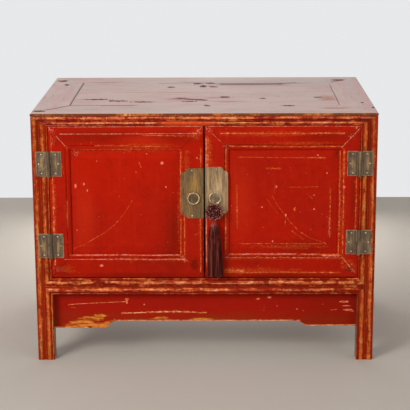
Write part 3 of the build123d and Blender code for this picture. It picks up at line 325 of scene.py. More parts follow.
def strokes(tree, place, lines, skips_low=0.36):
    """Masks of lines, such as rubbed wear, scratches, cracks and painted shade, and of the strips beside them; a line
    is x, z, x, z and half its width.
    """
    drift = tree.swing(tree.noise(place, 9.0, detail=2.0), 0.004)
    flat = tree.vector("ADD", tree.vector("MULTIPLY", place, (1.0, 0.0, 1.0)), tree.point(x=drift, z=drift))
    fine = tree.noise(place, 300.0, roughness=0.7)
    skips = tree.smooth(tree.noise(place, 70.0, detail=5.0, roughness=0.75), skips_low, skips_low + 0.1)
    mask = strip = None
    for x0, z0, x1, z1, width in lines:
        ends = {"From": (x0, 0.0, z0), "To": (x1, 0.0, z1)}
        stroke = tree.use(STROKE, Place=flat, Width=width, Fine=fine, Skips=skips, **ends)
        mask = tree.highest(mask, stroke["Mask"])
        strip = tree.highest(strip, stroke["Beside"])
    return (0.0, 0.0) if mask is None else (mask, strip)


def patches(tree, place, spots, stretch=110.0, ragged=2.0, core=0.8):
    """Mask of patches, each given as centre x, y, z and half sizes x, y, z."""
    wander = tree.noise(place, stretch, detail=5.0, roughness=0.7)
    mask = None
    for spot in spots:
        patch = tree.use(PATCH, Place=place, Centre=spot[:3], Size=spot[3:], Wander=wander, Ragged=ragged, Core=core)
        mask = tree.highest(mask, patch["Mask"])
    return 0.0 if mask is None else mask


def strewn(tree, place, scale, size, share):
    """Specks strewn over a piece."""
    return tree.use(SPECKS, Place=place, Scale=scale, Size=size, Share=share)["Mask"]


def marks_near(marks, low, high):
    """The marks that reach a piece, whose lowest and highest corners are given."""
    chosen = {}
    for kind, lines in marks.items():
        chosen[kind] = []
        for line in lines:
            if len(line) == 5:
                xs, zs, reach = line[0:3:2], line[1:4:2], 0.006
            else:
                xs, zs, reach = (line[0] - line[2], line[0] + line[2]), (line[1] - line[3], line[1] + line[3]), 0.0
            if (min(xs) - reach < high.x and max(xs) + reach > low.x
                    and min(zs) - reach < high.z and max(zs) + reach > low.z):
                chosen[kind].append(line)
    return chosen


def in_metres(marks):
    """Marks written in tenths of a millimetre, turned into metres."""
    return {kind: [tuple(size / 10000 for size in mark) for mark in lines] for kind, lines in marks.items()}


def on_face(spots, y=FACE + 0.004):
    """Spots given as x, z and half sizes, turned into patches that reach through a door's face."""
    return [(x, y, z, half_x, 0.03, half_z) for x, z, half_x, half_z in spots]


# ---------------------------------------------------------------- lacquered mouldings
def moulding_coat(tree, place, grain, wear, tones=RAIL_TONES):
    """Colour and bareness of a reeded piece: dark in the quirks, red on the flanks, rubbed on the crowns."""
    dark, red, quirk, rust, orange, ochre, straw, crown_wear, on_crown, off_crown = tones
    moulding = tree.use(MOULDING, Place=place)
    wear = tree.maths("MULTIPLY_ADD", moulding["Crown"], crown_wear, wear)
    mottle = tree.noise(place, tuple(30.0 + g * 0.12 for g in grain), detail=4.0, roughness=0.65)
    wear = tree.swing(mottle, 1.5, wear)
    chipped = tree.noise(place, 120.0, detail=4.0, roughness=0.72)
    wear = tree.swing(chipped, 1.6, wear)
    worn = tree.use(WORN, Place=place, Grain=grain, Wear=wear, Depth=moulding["Depth"])
    cloud = tree.noise(place, tuple(g * 0.3 for g in grain), detail=5.0, roughness=0.65)
    coat = Coat(tree, dark, red, tree.smooth(cloud, 0.38, 0.62))
    coat.lay(quirk, tree.smooth(moulding["Depth"], 0.72, 1.0), tree.smooth(chipped, 0.4, 0.56))
    coat.lay(rust, worn["Rust"])
    coat.lay(orange, worn["Orange"])
    coat.lay(ochre, worn["Orange"], tree.smooth(tree.noise(place, 20.0), 0.48, 0.6))
    coat.lay(straw, worn["Straw"])
    coat.lay((0.11, 0.018, 0.004), worn["Grime"], 0.55)
    pale = tree.maths("MULTIPLY_ADD", moulding["Crown"], on_crown, off_crown)
    coat.lay((0.92, 0.52, 0.36), worn["Flecks"], pale)
    coat.keep(moulding["Outer"], tree.mix(tree.noise(place, grain, detail=5.0), BARE_DARK, RED_BROWN))
    return coat, worn["Orange"]


def moulding_material(name, grain, wear, change=None, tones=RAIL_TONES):
    tree = Surface(name, **OLD_LACQUER)
    place = tree.place()
    coat, bare = moulding_coat(tree, place, grain, change(tree, place, wear) if change else wear, tones)
    height = tree.minus(tree.noise(place, tuple(g * 2.0 for g in grain)), bare)
    return tree.finish(coat.colour, tree.smooth(bare, 0.0, 1.0, 0.34, 0.55), height, 0.00018)


def feet_wear(tree, place, wear):
    """Wear that grows from half the height towards the feet."""
    return tree.plus(tree.smooth(tree.parts(place)["Z"], 0.36, 0.06, 0.0, 0.1), wear)


# upright bands on the front of a post: centre, half the width and the wear that it adds
LEFT_BANDS = [(-0.427, 0.0028, -0.26), (-0.4195, 0.0034, 0.2), (-0.412, 0.0026, -0.24), (-0.402, 0.0062, 0.22),
              (-0.3945, 0.0018, -0.35), (-0.3905, 0.0018, 0.3), (-0.387, 0.0018, -0.4)]
RIGHT_BANDS = [(0.3885, 0.0018, 0.1), (0.3925, 0.0028, -0.25), (0.4, 0.004, 0.18), (0.4065, 0.0024, -0.2),
               (0.413, 0.0034, 0.06), (0.4195, 0.0028, 0.14), (0.4255, 0.0026, -0.25)]


def banded(bands):
    """Wear of a front post with its bands."""
    def change(tree, place, wear):
        at = tree.parts(place)
        across = tree.swing(tree.noise(place, (50.0, 50.0, 24.0), detail=4.0), 0.012, at["X"])
        front = tree.smooth(at["Y"], FACE + 0.005, FACE + 0.004)
        for centre, half, amount in bands:
            off = tree.size(tree.minus(across, centre))
            wear = tree.maths("MULTIPLY_ADD", tree.smooth(off, half, half * 0.6, 0.0, amount), front, wear)
        return feet_wear(tree, place, wear)
    return change


def rail_wear(tree, place, wear):
    """Blotches of bare wood along the upper reed of the front rail."""
    blotch = tree.noise(place, (24.0, 90.0, 60.0), roughness=0.6)
    upper = tree.smooth(tree.parts(place)["Z"], 0.196, 0.202, 0.25, 1.0)
    return tree.plus(tree.both(tree.smooth(blotch, 0.46, 0.58, -0.1, 0.26), upper), wear)


# ---------------------------------------------------------------- lacquered doors
def off_back(tree):
    """1 on every face but those that look backwards."""
    return tree.smooth(tree.parts(tree.facing())["Y"], 0.6, 0.3)


def lacquer_base(tree, place, grain):
    """Cinnabar over crimson in soft clouds, with brush lines and a fine mottle."""
    cloud = tree.noise(place, (3.2, 3.2, 3.6), detail=4.0)
    brush = tree.noise(place, grain, detail=4.0, roughness=0.6)
    mottle = tree.noise(place, 60.0, detail=7.0, roughness=0.78)
    coat = Coat(tree, (0.358, 0.008, 0.003), CINNABAR, tree.smooth(cloud, 0.36, 0.6))
    coat.lay(VERMILION, tree.smooth(mottle, 0.52, 0.74), 0.4)
    coat.lay(DARK_RED, tree.smooth(mottle, 0.47, 0.32), 0.45)
    coat.lay(VERMILION, tree.smooth(brush, 0.52, 0.75), 0.2)
    return coat, brush


def door_material(name, marks):
    """Cinnabar lacquer of a door's piece; marks holds its shades and glows (painted shade and painted highlight),
    rubs, rubbed lines, chips and scratches.
    """
    tree = Surface(name, **LACQUER)
    place = tree.place()

    def spots(kind, stretch=110.0, ragged=2.0, core=0.8):
        return patches(tree, place, on_face(marks[kind]), stretch, ragged, core)

    coat, brush = lacquer_base(tree, place, ALONG_Z)
    grit = tree.noise(place, 300.0, detail=4.0, roughness=0.75)
    # painted shade: the shade patches, and the door darker towards its bottom
    coat.lay(DARK_RED, spots("shades", ragged=0.5, core=0.0), 0.6)
    coat.lay(DARK_RED, tree.smooth(tree.parts(place)["Z"], 0.29, 0.262, 0.0, 0.26))
    # painted highlight: the glow patches
    coat.lay(VERMILION, spots("glows", ragged=0.5, core=0.0), 0.45)
    rub = spots("rubs", (45.0, 45.0, 200.0), 3.0, 0.35)
    coat.lay(RUST, rub, 0.35)
    coat.lay(ORANGE, rub, tree.smooth(grit, 0.54, 0.64))
    coat.lay(MAROON, spots("smudges", ragged=3.4, core=0.5), 0.55)
    tone = tree.noise(place, 130.0, detail=4.0, roughness=0.7)
    worn_tone = tree.mix(tree.smooth(tone, 0.42, 0.56), RUST, ORANGE)
    worn_tone = tree.mix(tree.smooth(tone, 0.56, 0.66), worn_tone, (0.86, 0.33, 0.16))
    # dark lines: the mitre joints of the frame, and painted shade in the gaps round the panel
    coat.lay(MAROON, strokes(tree, place, marks["dark"], 0.3)[0], 0.85)
    line, beside = strokes(tree, place, marks["orange"])
    coat.lay(ORANGE, beside, tree.smooth(grit, 0.55, 0.63, 0.0, 0.85))
    coat.lay(worn_tone, line)
    coat.lay(worn_tone, strokes(tree, place, marks["scratches"], 0.34)[0], 0.8)
    pale, pale_side = strokes(tree, place, marks["pink"])
    pale = tree.highest(pale, tree.both(pale_side, tree.smooth(grit, 0.58, 0.66)))
    coat.lay(tree.mix(tree.smooth(tone, 0.44, 0.6), ORANGE, CHALK_PINK), pale, 0.85)
    fleck = spots("flecks", ragged=1.2, core=0.2)
    coat.lay((0.8, 0.27, 0.17), fleck, tree.smooth(grit, 0.55, 0.62, 0.0, 0.85))
    coat.lay(MAROON, fleck, tree.smooth(grit, 0.45, 0.38, 0.0, 0.8))
    specks = strewn(tree, place, 75.0, 0.13, 0.16)
    coat.lay(tree.mix(tree.smooth(tone, 0.46, 0.56), ORANGE, CORAL), specks, 0.55)
    coat.lay(tree.mix(tree.smooth(tone, 0.5, 0.64), CORAL, CHALK_PINK), spots("chips", 260.0, 1.4))
    coat.lay((0.72, 0.15, 0.02), spots("amber", 260.0, 1.2, 0.4), 0.9)
    coat.keep(off_back(tree), tree.mix(tree.smooth(brush, 0.36, 0.64), BARE_DARK, (0.3, 0.15, 0.07)))
    roughness = tree.smooth(tree.noise(place, (30.0, 30.0, 8.0), detail=4.0), 0.35, 0.7, 0.3, 0.42)
    return tree.finish(coat.colour, roughness, brush, 0.00008)


LEFT_MARKS = in_metres({
    # shades: patches of painted shade
    "shades": [
        (-800, 3300, 400, 1600), (-2600, 5850, 2000, 350), (-800, 5830, 1300, 280), (-1900, 2260, 2000, 120),
        (-3580, 2400, 300, 300),
    ],
    # glows: patches of painted highlight
    "glows": [
        (-1500, 5750, 1000, 200), (-3000, 3800, 400, 1500),
    ],
    "rubs": [
        (-1445, 5604, 950, 90), (-440, 5150, 100, 500), (-3750, 4100, 40, 800), (-105, 3650, 60, 500),
        (-640, 3900, 50, 1100), (-1700, 2700, 1200, 60), (-200, 5900, 200, 160), (-3500, 2420, 260, 120),
    ],
    "smudges": [
        (-270, 2550, 100, 150),
    ],
    "flecks": [
        (-3780, 6000, 140, 140), (-3740, 5750, 70, 200), (-120, 5980, 140, 120), (-3730, 2430, 180, 100),
        (-3220, 5410, 160, 100), (-580, 2760, 120, 70), (-20, 3000, 40, 600),
    ],
    # dark: the mitre joints, and painted shade in the gaps round the panel
    "dark": [
        (-3470, 5560, -3450, 2740, 11), (-3865, 6105, -3345, 5505, 8), (-20, 6105, -615, 5505, 8),
        (-3865, 2220, -3345, 2820, 8), (-20, 2220, -615, 2820, 8), (-3330, 5630, -2100, 5630, 10),
        (-3350, 2745, -620, 2740, 12),
    ],
    "orange": [
        (-3785, 5850, -3785, 2550, 18), (-3785, 3650, -3788, 3350, 30), (-3780, 4600, -3775, 4000, 26),
        (-583, 5450, -606, 2800, 16), (-499, 3950, -509, 2640, 18), (-84, 5520, -101, 2350, 18),
        (-2233, 5513, -1811, 5512, 26), (-1687, 5512, -1142, 5510, 26), (-3275, 5515, -597, 5509, 14),
        (-926, 2688, -521, 2687, 26), (-3440, 4200, -3440, 3550, 14), (-2700, 5630, -1100, 5600, 12),
        (-1500, 5880, -300, 5860, 12),
    ],
    "pink": [
        (-3560, 5920, -80, 5920, 9), (-3401, 2797, -622, 2793, 11), (-3531, 2692, -521, 2687, 9),
        (-3850, 6095, -3390, 5555, 8), (-35, 6095, -280, 5840, 5), (-400, 2600, -560, 2760, 5),
        (-3850, 6095, -50, 6095, 8),
    ],
    "scratches": [
        (-3302, 2963, -3020, 3085, 8), (-3020, 3085, -2763, 3240, 10), (-2763, 3240, -2500, 3390, 9),
        (-2500, 3390, -2252, 3590, 8), (-2252, 3590, -1995, 3900, 7), (-1995, 3900, -1803, 4217, 6),
        (-1620, 5180, -1570, 5060, 12), (-120, 3380, -260, 3320, 12), (-3560, 5300, -3510, 4900, 9),
    ],
    "amber": [
        (-1700, 4940, 30, 12),
    ],
    "chips": [
        (-3220, 4585, 28, 60), (-3006, 4640, 24, 40), (-2925, 4469, 19, 32), (-957, 4562, 21, 26),
        (-177, 5306, 24, 24), (-3213, 3447, 16, 18), (-2677, 5222, 15, 15), (-1050, 5170, 45, 40),
        (-2610, 2530, 45, 38), (-1430, 5400, 20, 14),
    ],
})
RIGHT_MARKS = in_metres({
    # shades: patches of painted shade
    "shades": [
        (3720, 4200, 140, 2000), (3000, 5850, 1400, 300), (1900, 2260, 2000, 100), (3300, 5400, 200, 200),
        (2500, 3000, 1200, 400),
    ],
    # glows: patches of painted highlight
    "glows": [
        (900, 4200, 500, 1500), (200, 4200, 200, 1800),
    ],
    "amber": [
        (2257, 3980, 32, 56), (2275, 4020, 20, 20),
    ],
    "rubs": [
        (2328, 5660, 1100, 60), (3440, 5000, 60, 550), (2100, 3000, 1100, 70), (130, 5500, 100, 500),
        (3600, 2550, 200, 200), (1300, 2400, 1200, 100), (3450, 3600, 60, 900), (1600, 5900, 1300, 70),
    ],
    "smudges": [
        (3620, 2430, 120, 100),
    ],
    "flecks": [
        (120, 6000, 140, 120), (3800, 6040, 120, 100), (3640, 5850, 140, 140), (3720, 2450, 180, 180),
        (600, 2740, 180, 100), (3450, 2760, 140, 100), (800, 2400, 300, 60), (3130, 3500, 40, 300),
        (600, 5600, 200, 80),
    ],
    # dark: the mitre joints, and painted shade in the gaps round the panel
    "dark": [
        (500, 5590, 485, 2740, 10), (20, 6105, 615, 5505, 8), (3865, 6105, 3345, 5505, 8), (20, 2220, 615, 2820, 8),
        (3865, 2220, 3345, 2820, 8), (520, 5640, 3450, 5630, 10), (3390, 5500, 3400, 2800, 10),
        (615, 2760, 3450, 2755, 11),
    ],
    "orange": [
        (395, 5920, 3458, 5920, 20), (3412, 2826, 3800, 2326, 11), (617, 5592, 3434, 5585, 14),
        (537, 5506, 534, 2830, 16), (817, 4605, 817, 3495, 10), (840, 5305, 2973, 5303, 7),
        (2400, 5305, 3000, 5290, 12), (3137, 4498, 3146, 3257, 11), (3138, 3750, 3146, 3309, 20),
        (893, 3087, 3059, 3085, 8), (3369, 5450, 3380, 2826, 17), (3465, 5474, 3466, 4840, 28),
        (3466, 4840, 3480, 2826, 15), (514, 2733, 3464, 2729, 18), (539, 2347, 3421, 2345, 18),
        (539, 2396, 994, 2396, 45), (90, 5800, 90, 4900, 22), (3785, 4900, 3785, 3400, 14),
        (1550, 5030, 1900, 5030, 13),
    ],
    "pink": [
        (3844, 6040, 3400, 5560, 10), (30, 6080, 560, 5560, 5), (615, 2817, 3362, 2813, 11), (45, 5800, 50, 2500, 14),
        (60, 6095, 3850, 6095, 8), (3000, 2790, 3400, 2785, 24),
    ],
    "scratches": [
        (1700, 4330, 1820, 4090, 9), (1820, 4090, 1980, 3880, 10), (1980, 3880, 2180, 3620, 12),
        (2180, 3620, 2390, 3410, 11), (2390, 3410, 2650, 3240, 9), (2650, 3240, 3050, 3100, 7),
        (1766, 4760, 1766, 4400, 7), (2045, 3879, 2023, 3568, 10), (2090, 4556, 2830, 4556, 8),
        (1560, 4250, 1850, 3850, 6), (2560, 4390, 2700, 4250, 7), (2200, 3420, 2500, 3190, 8),
    ],
    "chips": [
        (3480, 4556, 40, 36), (2745, 3981, 26, 20), (1442, 4035, 24, 24), (2739, 4342, 18, 18), (2824, 5362, 26, 18),
        (3055, 4904, 18, 26), (2040, 3830, 20, 40), (1800, 4560, 22, 30), (1715, 3150, 20, 30),
    ],
})


# ---------------------------------------------------------------- aprons and side panels
APRON_Y = FACE + 0.024
APRON_MARKS = in_metres({
    "ochre": [
        (-3380, 860, 260, 60), (-3150, 930, 340, 100), (-2900, 1040, 340, 70), (-2680, 1120, 180, 40),
        (-2700, 870, 340, 70), (-2360, 940, 220, 60), (-1150, 1040, 240, 50), (-100, 1020, 400, 40),
        (600, 990, 300, 20),
    ],
    "lines": [
        (-2134, 1190, -1500, 1205, 16), (-1500, 1210, -700, 1230, 24), (-700, 1225, 25, 1201, 18),
        (-3500, 1420, -3300, 1440, 10), (-3300, 1440, -2050, 1500, 7), (-2260, 990, 2260, 990, 16),
        (-3880, 805, -2520, 805, 18), (2520, 860, 3880, 860, 16),
    ],
    "pink": [
        (-3450, 1350, -3300, 1330, 10), (3231, 1265, 3380, 1280, 10), (3560, 1270, 3795, 1221, 22),
    ],
    "chips": [
        (3560, 1490, 130, 30), (3640, 1380, 120, 16), (3680, 1270, 130, 30), (-1999, 1560, 60, 35),
        (-2010, 1490, 30, 60), (1358, 1570, 50, 30), (1640, 1610, 75, 28), (770, 975, 65, 22), (487, 1000, 30, 20),
        (2400, 980, 60, 22), (-1560, 1420, 16, 20), (2360, 1290, 22, 22), (-200, 990, 30, 18), (1300, 1000, 40, 15),
    ],
})


def apron_material():
    """Crimson front apron with ochre patches near its left end and a rubbed lower edge."""
    tree = Surface("apron_lacquer", **LACQUER)
    place = tree.place()
    coat, brush = lacquer_base(tree, place, ALONG_X)
    coat.lay(CRIMSON, 0.75)
    low = tree.smooth(tree.parts(place)["Z"], 0.135, 0.095)
    band = tree.noise(place, (14.0, 60.0, 60.0), detail=5.0, roughness=0.7)
    coat.lay((0.22, 0.028, 0.006), low, tree.smooth(band, 0.4, 0.58, 0.15, 0.75))
    # painted shade: the apron darker towards its right end
    coat.lay(DARK_RED, tree.smooth(tree.parts(place)["X"], 0.12, 0.34, 0.0, 0.45))
    ochre = patches(tree, place, on_face(APRON_MARKS["ochre"], APRON_Y), (50.0, 90.0, 170.0), 2.4, 0.78)
    tone = tree.noise(place, (120.0, 120.0, 260.0), detail=4.0, roughness=0.7)
    streak = tree.noise(place, (28.0, 60.0, 140.0), detail=5.0, roughness=0.75)
    ochre = tree.both(ochre, tree.smooth(streak, 0.34, 0.5, 0.25, 1.0))
    coat.lay(tree.mix(tree.smooth(streak, 0.44, 0.6), (0.42, 0.09, 0.01), (0.68, 0.24, 0.04)), ochre)
    line, beside = strokes(tree, place, APRON_MARKS["lines"])
    coat.lay(RUST, beside, tree.smooth(tone, 0.54, 0.6, 0.0, 0.8))
    coat.lay(tree.mix(tree.smooth(tone, 0.42, 0.56), ORANGE, STRAW), line)
    pink = strokes(tree, place, APRON_MARKS["pink"], 0.3)[0]
    chips = patches(tree, place, on_face(APRON_MARKS["chips"], APRON_Y), 200.0, 1.6)
    specks = strewn(tree, place, 60.0, 0.12, 0.14)
    chips = tree.both(chips, tree.smooth(tone, 0.36, 0.46))
    pale = tree.highest(tree.both(pink, 0.75), chips, tree.both(specks, 0.6))
    coat.lay(tree.mix(tree.smooth(tone, 0.44, 0.6), ORANGE, (0.8, 0.27, 0.15)), pale, 0.9)
    coat.keep(tree.smooth(tree.parts(place)["Y"], FACE + 0.03, FACE + 0.026), RED_BROWN)
    return tree.finish(coat.colour, tree.smooth(brush, 0.3, 0.7, 0.34, 0.46), brush, 0.0001)


def panel_lacquer(name, grain, mixed):
    """Plain worn lacquer for the sides: clouds, rubbed streaks and small chips."""
    tree = Surface(name, **LACQUER)
    place = tree.place()
    coat, brush = lacquer_base(tree, place, grain)
    coat.lay(CRIMSON, mixed)
    worn = tree.use(WORN, Place=place, Grain=grain, Wear=0.0, Depth=0.0)
    coat.lay(RUST, worn["Rust"], 0.7)
    coat.lay(ORANGE, worn["Orange"], 0.8)
    coat.lay(MAROON, tree.smooth(tree.noise(place, 14.0, detail=6.0, roughness=0.7), 0.52, 0.72), 0.6)
    coat.lay(CHALK_PINK, strewn(tree, place, 60.0, 0.12, 0.12), 0.7)
    return tree.finish(coat.colour, tree.smooth(brush, 0.3, 0.7, 0.34, 0.48), brush, 0.00012)


# ---------------------------------------------------------------- worn top
TOP_MARKS = in_metres({
    "dark": [
        (-2780, -700, 320, 100), (-2240, -957, 260, 100), (-1580, -1124, 320, 100), (-600, -560, 220, 90),
        (-320, -760, 260, 90), (-400, -1050, 240, 80), (-80, -850, 180, 80), (-220, 1900, 140, 140),
        (-60, 1450, 120, 180), (140, 1980, 140, 120), (200, 1350, 140, 120), (-4060, 2450, 160, 140),
        (-3860, 1750, 80, 140), (-940, 1300, 100, 120), (4259, -2040, 60, 100), (70, -1707, 80, 100),
        (2122, -1738, 180, 80), (1500, -600, 120, 80), (2950, -450, 140, 70), (500, -400, 140, 120),
        (3720, 2500, 220, 120), (4040, -1300, 50, 80), (-4120, -2480, 140, 80),
    ],
    "cracks": [
        (-4287, -2413, -3980, -2275, 22), (-3980, -2275, -3720, -2030, 26), (-3720, -2030, -3441, -1650, 22),
        (-600, 2060, 80, 2040, 24), (447, 1830, 2061, 1800, 100), (-3450, -1652, -1800, -1650, 18),
        (3920, 2600, 3500, 2100, 18), (-1300, 1960, -600, 2050, 14), (2061, 1900, 2500, 2050, 30),
        (3430, 1500, 3430, -1640, 7), (-3430, 2040, -3430, -1640, 14), (-2600, -1600, -1700, -1600, 14),
    ],
    "reds": [
        (-1200, 420, 2200, 60), (300, -430, 500, 180), (1000, 1700, 1000, 140), (3200, -600, 300, 600),
        (3300, -2100, 500, 220), (-2800, 2150, 800, 120), (-3000, -700, 500, 160), (2500, 1950, 900, 120),
        (-600, -700, 500, 300), (600, -1100, 600, 120),
    ],
})


def on_top(spots):
    """Spots given as x, y and half sizes, turned into patches on the top."""
    return [(x, y, TOP, half_x, half_y, 0.01) for x, y, half_x, half_y in spots]


def top_coat(tree, place, grain):
    """Colour, relief and shine of the top: lacquer faded to tan and rose, with dark knots and cracks."""
    wood = tree.use(WOOD, Place=place, Grain=grain)
    cloud = tree.noise(place, tuple(5.0 + g * 0.05 for g in grain), detail=6.0, roughness=0.7)
    coat = Coat(tree, DUSTY_ROSE, TAN, tree.smooth(cloud, 0.4, 0.58))
    coat.lay(DRIFTWOOD, tree.smooth(wood["Tone"], 0.52, 0.66), 0.75)
    coat.lay((0.3, 0.13, 0.09), tree.smooth(wood["Fibre"], 0.44, 0.3), 0.55)
    grit = tree.noise(place, 170.0, detail=5.0, roughness=0.75)
    coat.lay((0.34, 0.19, 0.14), tree.smooth(grit, 0.56, 0.68), 0.4)
    red = patches(tree, place, on_top(TOP_MARKS["reds"]), (12.0, 110.0, 30.0), 3.0, 0.1)
    coat.lay((0.42, 0.135, 0.075), red, 0.6)
    dark = patches(tree, place, on_top(TOP_MARKS["dark"]), (130.0, 55.0, 55.0), 3.4, 0.8)
    turned = tree.point(x=tree.parts(place)["X"], z=tree.parts(place)["Y"])
    cracks, crack_side = strokes(tree, turned, TOP_MARKS["cracks"], 0.24)
    pores = strewn(tree, tree.vector("MULTIPLY", place, (0.6, 1.0, 0.0)), 70.0, 0.16, 0.1)
    marks = tree.highest(tree.both(dark, 0.92), cracks, tree.both(pores, 0.7))
    coat.lay(RED_BROWN, crack_side, 0.3)
    coat.lay((0.11, 0.026, 0.014), marks)
    relief = tree.minus(wood["Fibre"], marks)
    return coat, relief, tree.maths("MULTIPLY_ADD", marks, 0.35, tree.smooth(cloud, 0.35, 0.65, 0.5, 0.64))


def top_board_material():
    tree = Surface("faded_top_boards", Specular_IOR_Level=0.12)
    coat, relief, shine = top_coat(tree, tree.place(), ALONG_X)
    return tree.finish(coat.colour, shine, relief, 0.0003)


def top_frame_material(name, grain):
    """Tan on the flat of the frame, rubbed orange reeds on its moulded edge, speckled ochre on the nosing."""
    tree = Surface(name, Specular_IOR_Level=0.12)
    place = tree.place()
    flat_coat, relief, shine = top_coat(tree, place, grain)
    at = tree.parts(place)
    red_stretch = tree.smooth(tree.size(tree.plus(at["X"], 0.04)), 0.085, 0.045)
    inner_reed = tree.smooth(at["Z"], 0.6235, 0.6215)
    left_end = tree.smooth(at["X"], -0.24, -0.34)
    wear = tree.minus(0.17, tree.both(tree.both(red_stretch, inner_reed), 0.16))
    wear = tree.minus(wear, tree.both(inner_reed, 0.05))
    wear = tree.minus(wear, tree.both(left_end, 0.14))
    wear = tree.minus(wear, tree.smooth(at["X"], 0.28, 0.38, 0.0, 0.14))
    wear = tree.minus(wear, tree.smooth(at["Y"], BACK - 0.006, BACK - 0.001, 0.0, 0.4))
    reeds, bare = moulding_coat(tree, place, grain, wear)
    reeds.lay((0.7, 0.075, 0.012), tree.both(red_stretch, inner_reed), 0.75)
    nose = tree.smooth(at["Z"], 0.6352, 0.6362)
    speckle = tree.noise(place, 190.0, detail=6.0, roughness=0.78)
    level = tree.plus(speckle, tree.swing(tree.noise(place, 16.0), 0.8))
    nose_colour = tree.mix(tree.smooth(level, 0.44, 0.58), (0.15, 0.04, 0.012), (0.48, 0.14, 0.028))
    nose_colour = tree.mix(tree.smooth(level, 0.6, 0.7), nose_colour, (0.8, 0.36, 0.12))
    reeds.lay(nose_colour, nose)
    corner = tree.both(tree.smooth(tree.size(at["X"]), 0.375, 0.415), tree.smooth(speckle, 0.42, 0.56))
    reeds.lay((0.13, 0.03, 0.015), corner, 0.8)
    up = tree.parts(tree.facing())["Z"]
    flat = tree.both(tree.smooth(up, 0.75, 0.95), tree.smooth(at["Z"], 0.6412, 0.6424))
    colour = tree.mix(flat, reeds.colour, flat_coat.colour)
    return tree.finish(colour, tree.maths("MULTIPLY_ADD", bare, 0.1, shine), relief, 0.0002)


# ---------------------------------------------------------------- bare wood
def bare_material(name, grain):
    tree = Surface(name)
    place = tree.place()
    wood = tree.use(WOOD, Place=place, Grain=grain)
    coat = Coat(tree, BARE_DARK, BARE_LIGHT, tree.smooth(wood["Fibre"], 0.32, 0.66))
    coat.lay(BARE_DARK, tree.smooth(wood["Tone"], 0.4, 0.7), 0.5)
    coat.lay(DRIFTWOOD, tree.smooth(tree.noise(place, 25.0, detail=5.0), 0.4, 0.8), 0.16)
    return tree.finish(coat.colour, tree.smooth(wood["Fibre"], 0.3, 0.7, 0.62, 0.8), wood["Fibre"], 0.0004)


# ---------------------------------------------------------------- brass
METALLIC = 0.7              # clean brass; the painted shade takes it down


def brass_material(name, tones, shine, glow=(), rims=(), painted_shade=()):
    """Aged brass in four tones, dark to pale: brighter in glow (rubbed on the door plates, a painted highlight on the
    hinge leaves), pale along its rims as a painted highlight, and darker, duller and rougher under patches of painted
    shade.
    """
    dark, dull, warm, pale = tones
    tree = Surface(name, Metallic=METALLIC)
    place = tree.place()
    brushed = tree.noise(place, (170.0, 170.0, 12.0), detail=5.0, roughness=0.65)
    fine = tree.noise(place, (600.0, 600.0, 60.0), roughness=0.7)
    cloud = tree.noise(place, (55.0, 55.0, 20.0), detail=5.0, roughness=0.65)
    level = tree.plus(brushed, tree.swing(fine, 0.5))
    if glow:
        # glow: rubbed brass on the door plates, a painted highlight on the hinge leaves
        rub_and_highlight = patches(tree, place, on_face(glow), ragged=0.6, core=0.0)
        level = tree.plus(level, tree.both(tree.minus(rub_and_highlight, 0.35), 0.22))
    coat = Coat(tree, dark, dull, tree.smooth(level, 0.32, 0.5))
    coat.lay(warm, tree.smooth(level, 0.48, 0.66))
    coat.lay(pale, tree.smooth(cloud, 0.52, 0.66), 0.5)
    coat.lay(dark, tree.smooth(tree.noise(place, 500.0), 0.6, 0.72), 0.6)
    # pale rims: a painted highlight along the edges of each hinge leaf
    for centre, half in rims:
        rim = tree.use(RIM_HIGHLIGHT, Place=place, Centre=centre, Half=half, Width=0.0016, Breaks=0.42)["Mask"]
        coat.lay(pale, rim, 0.8)
    roughness = tree.smooth(cloud, 0.3, 0.7, shine + 0.14, shine)
    # painted shade: the ring's shadow on its plate and the shade along the hinge barrels
    if painted_shade:
        darkening = patches(tree, place, on_face(painted_shade, FACE + 0.01), ragged=0.5, core=0.45)
        coat.lay((0.045, 0.028, 0.013), darkening, 0.8)
        tree.feed(tree.shader.inputs["Metallic"], tree.smooth(darkening, 0.0, 1.0, METALLIC, 0.15))
        roughness = tree.maths("MULTIPLY_ADD", darkening, 0.18, roughness)
    return tree.finish(coat.colour, roughness, brushed, 0.00006)


# ---------------------------------------------------------------- silk
def silk_material(name, deep, body, lit, threads, lit_share=0.75, fanned=False):
    """Fine silk thread in streaks of tone, with the lit tone laid in streaks as a painted highlight; threads per
    metre along each axis; fanned ones spread with the skirt.
    """
    tree = Surface(name, Roughness=0.45, Specular_IOR_Level=0.32, Specular_Tint=(1.0, 0.4, 0.35))
    place = tree.place()
    if fanned:
        at = tree.parts(place)
        wide = tree.smooth(at["Z"], CAP_LOW, 0.29, 0.4, 1.0)
        x = tree.maths("DIVIDE", tree.minus(at["X"], KNOT.x), wide)
        y = tree.maths("DIVIDE", tree.minus(at["Y"], KNOT.y), wide)
        place = tree.point(x, y, at["Z"])
    strand = tree.noise(place, threads, roughness=0.65)
    clump = tree.noise(place, tuple(t * 0.42 for t in threads))
    coat = Coat(tree, deep, body, tree.smooth(strand, 0.4, 0.56))
    # painted highlight on the silk
    coat.lay(lit, tree.smooth(clump, 0.5, 0.62), lit_share)
    return tree.finish(coat.colour, height=strand)


# ---------------------------------------------------------------- piece making
def deselect():
    if bpy.context.object and bpy.context.object.mode != "OBJECT":
        bpy.ops.object.mode_set(mode="OBJECT")
    bpy.ops.object.select_all(action="DESELECT")


def settle(piece, name):
    """Puts the piece's place into its mesh, so that its object sits at the origin."""
    deselect()
    piece.name = name
    piece.data.name = name
    piece.select_set(True)
    bpy.context.view_layer.objects.active = piece
    bpy.ops.object.transform_apply(location=True, rotation=True, scale=True)
    return piece


def placed(name, data):
    """A new object in the scene that holds the data."""
    made = bpy.data.objects.new(name, data)
    bpy.context.scene.collection.objects.link(made)
    return made


